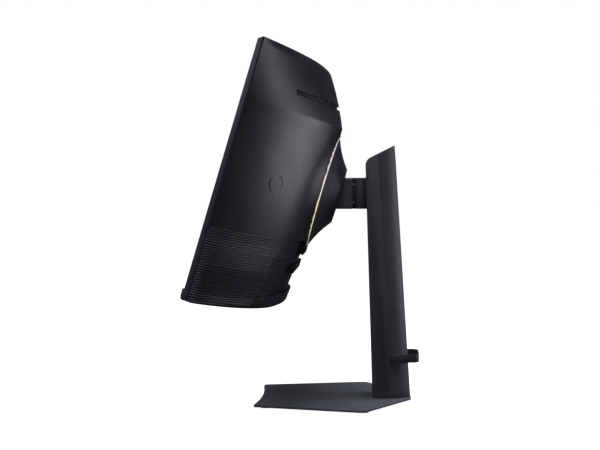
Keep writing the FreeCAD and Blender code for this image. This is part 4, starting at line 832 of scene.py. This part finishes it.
def screw_shape(radius, height, recess, steps=28):
    """Pan-head screw head with a cross recess, its seat at z = 0 and its crown below."""
    bm = bmesh.new()
    profile = [(radius * out, height * up) for out, up in CROWN] + [(AXIS, -height)]
    turns = [2 * math.pi * i / steps for i in range(steps)]
    rings = []
    for r, z in profile:
        rings.append([bm.verts.new(Vector((r * math.cos(t), r * math.sin(t), z)) * MM) for t in turns])
    for a, b in zip(rings, rings[1:]):
        for i in range(steps):
            j = (i + 1) % steps
            bm.faces.new((a[i], b[i], b[j], a[j]))
    bm.faces.new(rings[0])
    bm.faces.new(rings[-1])
    mesh = to_mesh(bm, "screw_head")
    cross = bmesh.new()
    depths = (-height * 1.2, -height * 0.45)
    for along, wide in ((recess, recess * CROSS), (recess * CROSS, recess)):
        ends = [(x, y, z) for x in (-along, along) for y in (-wide, wide) for z in depths]
        bmesh.ops.convex_hull(cross, input=[cross.verts.new(Vector(e) * MM) for e in ends])
    return cut(mesh, to_mesh(cross, "cross_recess"), use_self=True)


SLAT = (0.9, 1.2, 3.4)      # a slat's half sizes
SLAT_DEPTH = 5.5            # the slats' middle, under the shell's surface
SLAT_FAN = 420.0            # radius that the slats stand square to
SHADE_SHEET_DEPTH = 6.9           # the dark sheet behind them: painted shade that stands in for the vent's shaded inside
SHADE_SHEET_LAP = 1.0
SHADE_SHEET_HALF_COLUMNS = 30


def build_grille(sizes):
    """Vent slats: thin bars along the slot, set on its arc by a node tree, before a dark sheet of painted
    shade.
    """
    pitch = sizes.slats / MM
    count = int(VENT_HALF / pitch) - 1
    middle = sum(VENT) / 2
    places = [i * pitch for i in range(-count, count + 1)]
    points = [head(x, rear_depth(x, middle_depth(middle)) - SLAT_DEPTH, middle) for x in places]
    turns = [-math.atan2(x, SLAT_FAN) for x in places]
    bm = bmesh.new()
    wide, deep, high = SLAT
    spots = [(x, y, z) for x in (-wide, wide) for y in (-deep, deep) for z in (-high, high)]
    bmesh.ops.convex_hull(bm, input=[bm.verts.new(Vector(s) * MM) for s in spots])
    bmesh.ops.bevel(bm, geom=bm.edges, offset=0.3 * MM, segments=1, affect="EDGES")
    lean = math.atan2(HEAD_UP.y, HEAD_UP.z)
    mesh = scattered("vent_slats", points, turns, to_mesh(bm, "slat"), (-lean, 0, 0), "pocket")
    # a dark sheet under the slats that paints the shade inside the vent
    across = [VENT_HALF * i / SHADE_SHEET_HALF_COLUMNS for i in range(-SHADE_SHEET_HALF_COLUMNS, SHADE_SHEET_HALF_COLUMNS + 1)]
    shade_sheet = grid_mesh([[head(x, rear_depth(x, middle_depth(z)) - SHADE_SHEET_DEPTH, z) for x in across]
                       for z in (VENT[0] - SHADE_SHEET_LAP, VENT[1] + SHADE_SHEET_LAP)])
    shade_sheet.from_mesh(mesh)
    mesh = plain(shade_sheet, "vent_grille_slats")
    soften(mesh, 30.0)
    piece("vent_grille_slats", mesh, "pocket", "display_head", "vent_grille")


def build_foot_screws():
    """Cross-recessed screw heads under the base plate, set on their places by a node tree."""
    low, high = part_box("column_foot_screws")
    radius, rod, length, seat = 3.8, 2 * MM, 18 * MM, 3 * MM
    far, near = 22.0 * MM, 14.0 * MM
    front, rear = low.y + radius * MM, high.y - radius * MM
    points = [(far, front, seat), (-far, front, seat), (near, rear, seat), (-near, rear, seat)]
    turns = [0.3, 1.1, 0.7, 0.2]
    mesh = scattered("foot_screws", points, turns, screw_shape(radius, 2.2, 2.2), (0, 0, 0), "screw")
    joined = bmesh.new()
    joined.from_mesh(mesh)
    for x, y, z in points:
        shank = bmesh.ops.create_cone(joined, cap_ends=True, segments=24, radius1=rod, radius2=rod,
                                      depth=length)
        bmesh.ops.translate(joined, verts=shank["verts"], vec=(x, y, z + length / 2))
    mesh = plain(joined, "column_foot_screws_crossed")
    soften(mesh, 30.0)
    piece("column_foot_screws_crossed", mesh, "screw", "stand", "column_foot_screws")


# ---------------------------------------------------------------- pieces that keep the model's own shape
EDGED = {
    # node: (finish, edge break in mm)
    "column_shell": ("coated", 0.45), "column_front_cover": ("coated", 0.3),
    "base_plate": ("plate_coat_painted_lit", 0.35), "arm_body": ("casting", 0.4),
    "swivel_barrel": ("casting", 0.35), "cable_clip": ("nylon", 0.5), "port_hood": ("pocket", 0.35),
    "port_bay": ("pocket", 0.2), "chin_bezel": ("strip", 0.3), "middle_frame": ("strip", 0.3),
    "badge_ring": ("badge", 0.15), "base_feet": ("rubber", 0.5), "jog_cap": ("pocket", 0.3),
    "base_thumbscrew": ("screw", 0.3), "lcd_panel": ("glass", 0.0), "hdmi_ports": ("nickel", 0.08),
    "display_port": ("nickel", 0.08), "usb_ports": ("nickel", 0.08), "headphone_jack": ("pocket", 0.15),
    "power_inlet": ("pocket", 0.15), "tilt_nuts": ("screw", 0.3),
    "hub_mount_plate": ("sheet_metal", 0.3),
}
INNER = {
    # node: finish
    "hub_screws": "black_screw", "light_ring_board": "board", "mount_posts": "screw",
    "main_board": "board", "backlight_board": "board", "board_bracket": "sheet_metal",
    "back_tray": "sheet_metal", "led_bars": "board", "diffuser_plate": "acetal",
    "optical_sheets": "film", "panel_driver_board": "board", "shell_screws": "black_screw",
    "status_led": "led_lens", "jog_housing": "pocket", "jog_stem": "acetal", "jog_gimbal": "acetal",
    "column_foot_block": "aluminium", "guide_rail": "aluminium", "guide_rail_screws": "screw",
    "spring_cassette": "sheet_metal", "drum_axle": "screw", "spring_ribbon": "spring",
    "spring_drum": "acetal", "carriage_block": "aluminium", "glide_pads": "acetal",
    "swivel_pin": "screw", "swivel_bush": "bronze", "tilt_bush": "bronze", "tilt_pin": "screw",
    "tilt_friction_washers": "spring",
}


def finish_edged():
    for node, (finish, bevel) in EDGED.items():
        refine(node, finish, bevel)


def finish_inner():
    for node, finish in INNER.items():
        obj = frame["nodes"][node]
        for slot in obj.material_slots:
            slot.material = FINISH[finish]


# ---------------------------------------------------------------- stage
def area_light(name, place, aim, size, power):
    """Rectangular soft light at a place, turned towards another, in metres; the camera doesn't see it."""
    data = bpy.data.lights.new(name, "AREA")
    data.shape = "RECTANGLE"
    data.size, data.size_y = size
    data.energy = power
    data.color = srgb("#f3f5ff")[:3]
    obj = linked(name, data)
    obj.location = place
    obj.rotation_euler = (Vector(aim) - Vector(place)).to_track_quat("-Z", "Y").to_euler()
    obj.visible_camera = False


def build_floor(half):
    """Plain white floor that stays pale in every view, with a faint contact shadow."""
    mesh = bpy.data.meshes.new("floor")
    corners = [(-half, -half, 0), (half, -half, 0), (half, half, 0), (-half, half, 0)]
    mesh.from_pydata(corners, [], [(0, 1, 2, 3)])
    floor = linked("floor", mesh)
    material = bpy.data.materials.new("paper_white_sweep")
    material.use_nodes = True
    tree = material.node_tree
    tree.nodes.clear()
    matt = add(tree, "ShaderNodeBsdfDiffuse", {"Color": srgb("#f4f4f4")}).outputs[0]
    flag = add(tree, "ShaderNodeBsdfDiffuse", {"Color": srgb("#4c4e52")}).outputs[0]
    glow = add(tree, "ShaderNodeEmission", {"Color": srgb("#ffffff"), "Strength": 0.98}).outputs[0]
    seen = add(tree, "ShaderNodeLightPath").outputs["Is Camera Ray"]
    lit = add(tree, "ShaderNodeAddShader", {0: matt, 1: glow}).outputs[0]
    both = add(tree, "ShaderNodeMixShader", {0: seen, 1: flag, 2: lit}).outputs[0]
    add(tree, "ShaderNodeOutputMaterial", {"Surface": both})
    mesh.materials.append(material)


def build_world():
    world = bpy.data.worlds.new("studio")
    world.use_nodes = True
    tree = world.node_tree
    tree.nodes.clear()
    seen = add(tree, "ShaderNodeLightPath").outputs["Is Camera Ray"]
    room = add(tree, "ShaderNodeBackground", {"Color": srgb("#eef2ff"), "Strength": 0.05}).outputs[0]
    paper = add(tree, "ShaderNodeBackground", {"Color": srgb("#ffffff"), "Strength": 1.0}).outputs[0]
    both = add(tree, "ShaderNodeMixShader", {0: seen, 1: room, 2: paper}).outputs[0]
    add(tree, "ShaderNodeOutputWorld", {"Surface": both})
    bpy.context.scene.world = world


def build_camera(lens):
    """Camera off the monitor's right side, near the height of the column's top, looking slightly down."""
    turn, rise = 0.0605, -0.0446
    aim = Vector((-math.cos(turn) * math.cos(rise), -math.sin(turn) * math.cos(rise), math.sin(rise)))
    data = bpy.data.cameras.new("camera")
    data.lens = lens
    data.sensor_width = 36.0
    data.clip_end = 200.0
    camera = linked("camera", data)
    camera.location = (2.54407, 0.04552, 0.42707)
    camera.rotation_euler = aim.to_track_quat("-Z", "Y").to_euler()
    bpy.context.scene.camera = camera


def build_stage(settings):
    build_world()
    build_floor(settings.floor)
    build_camera(settings.lens)
    area_light("tall_key", (-0.28, 0.72, 0.29), (0.17, -0.03, 0.34), (0.52, 0.42), settings.key)
    area_light("front_fill", (3.4, -0.2, 0.9), (0.0, 0.0, 0.35), (3.2, 2.2), settings.fill)
    area_light("back_strip", (-0.45, 2.4, 0.80), (0.0, 0.05, 0.30), (0.45, 1.3), settings.strip)
    area_light("overhead", (0.2, -0.2, 2.4), (0.0, 0.0, 0.2), (1.8, 1.8), settings.top)
    bpy.context.scene.view_settings.view_transform = "Standard"


# ---------------------------------------------------------------- operators and panel
class MONITOR_OT_finishes(bpy.types.Operator):
    """Make every finish"""
    bl_idname = "monitor.finishes"
    bl_label = "Finishes"

    def execute(self, context):
        FINISH.update(make_finishes(context.scene.monitor_colours, context.scene.monitor_ribs))
        return {"FINISHED"}


class MONITOR_OT_shell(bpy.types.Operator):
    """Build the smooth rear shell"""
    bl_idname = "monitor.rear_shell"
    bl_label = "Rear shell"

    def execute(self, context):
        build_shell(context.scene.monitor_shell)
        return {"FINISHED"}


class MONITOR_OT_cover(bpy.types.Operator):
    """Build the ribbed lower cover and the vent's slats"""
    bl_idname = "monitor.ribbed_cover"
    bl_label = "Ribbed cover and vent"

    def execute(self, context):
        build_cover(context.scene.monitor_ribs)
        build_grille(context.scene.monitor_ribs)
        return {"FINISHED"}


class MONITOR_OT_hub(bpy.types.Operator):
    """Build the hub and its light ring"""
    bl_idname = "monitor.hub"
    bl_label = "Hub and light ring"

    def execute(self, context):
        build_hub()
        build_ring()
        return {"FINISHED"}


class MONITOR_OT_edged(bpy.types.Operator):
    """Break the edges of the stand, arm, frame and sockets"""
    bl_idname = "monitor.edged_parts"
    bl_label = "Stand, arm, frame and sockets"

    def execute(self, context):
        finish_edged()
        build_foot_screws()
        return {"FINISHED"}


class MONITOR_OT_inner(bpy.types.Operator):
    """Give the parts inside their finishes"""
    bl_idname = "monitor.inner_parts"
    bl_label = "Parts inside"

    def execute(self, context):
        finish_inner()
        return {"FINISHED"}


class MONITOR_OT_stage(bpy.types.Operator):
    """Set the floor, lights and camera"""
    bl_idname = "monitor.stage"
    bl_label = "Stage"

    def execute(self, context):
        build_stage(context.scene.monitor_stage)
        return {"FINISHED"}


STEPS = (MONITOR_OT_finishes, MONITOR_OT_stage, MONITOR_OT_shell, MONITOR_OT_cover, MONITOR_OT_hub,
         MONITOR_OT_edged, MONITOR_OT_inner)


class MONITOR_PT_panel(bpy.types.Panel):
    """Monitor tools"""
    bl_idname = "MONITOR_PT_panel"
    bl_label = "Monitor"
    bl_space_type = "VIEW_3D"
    bl_region_type = "UI"
    bl_category = "Monitor"

    def draw(self, context):
        for group in ("monitor_shell", "monitor_ribs", "monitor_colours", "monitor_stage"):
            settings = getattr(context.scene, group)
            column = self.layout.column()
            for name in settings.bl_rna.properties.keys():
                if name not in ("rna_type", "name"):
                    column.prop(settings, name)
        for step in STEPS:
            self.layout.operator(step.bl_idname)


CLASSES = (ShellSizes, RibSizes, Colours, StageSizes) + STEPS + (MONITOR_PT_panel,)
GROUPS = {"monitor_shell": ShellSizes, "monitor_ribs": RibSizes, "monitor_colours": Colours,
          "monitor_stage": StageSizes}


def register():
    for kind in CLASSES:
        bpy.utils.register_class(kind)
    for name, kind in GROUPS.items():
        setattr(bpy.types.Scene, name, PointerProperty(type=kind))


def unregister():
    for name in GROUPS:
        delattr(bpy.types.Scene, name)
    for kind in reversed(CLASSES):
        bpy.utils.unregister_class(kind)


def main():
    register()
    for step in STEPS:
        area, action = step.bl_idname.split(".")
        getattr(getattr(bpy.ops, area), action)()


if __name__ == "__main__":
    main()
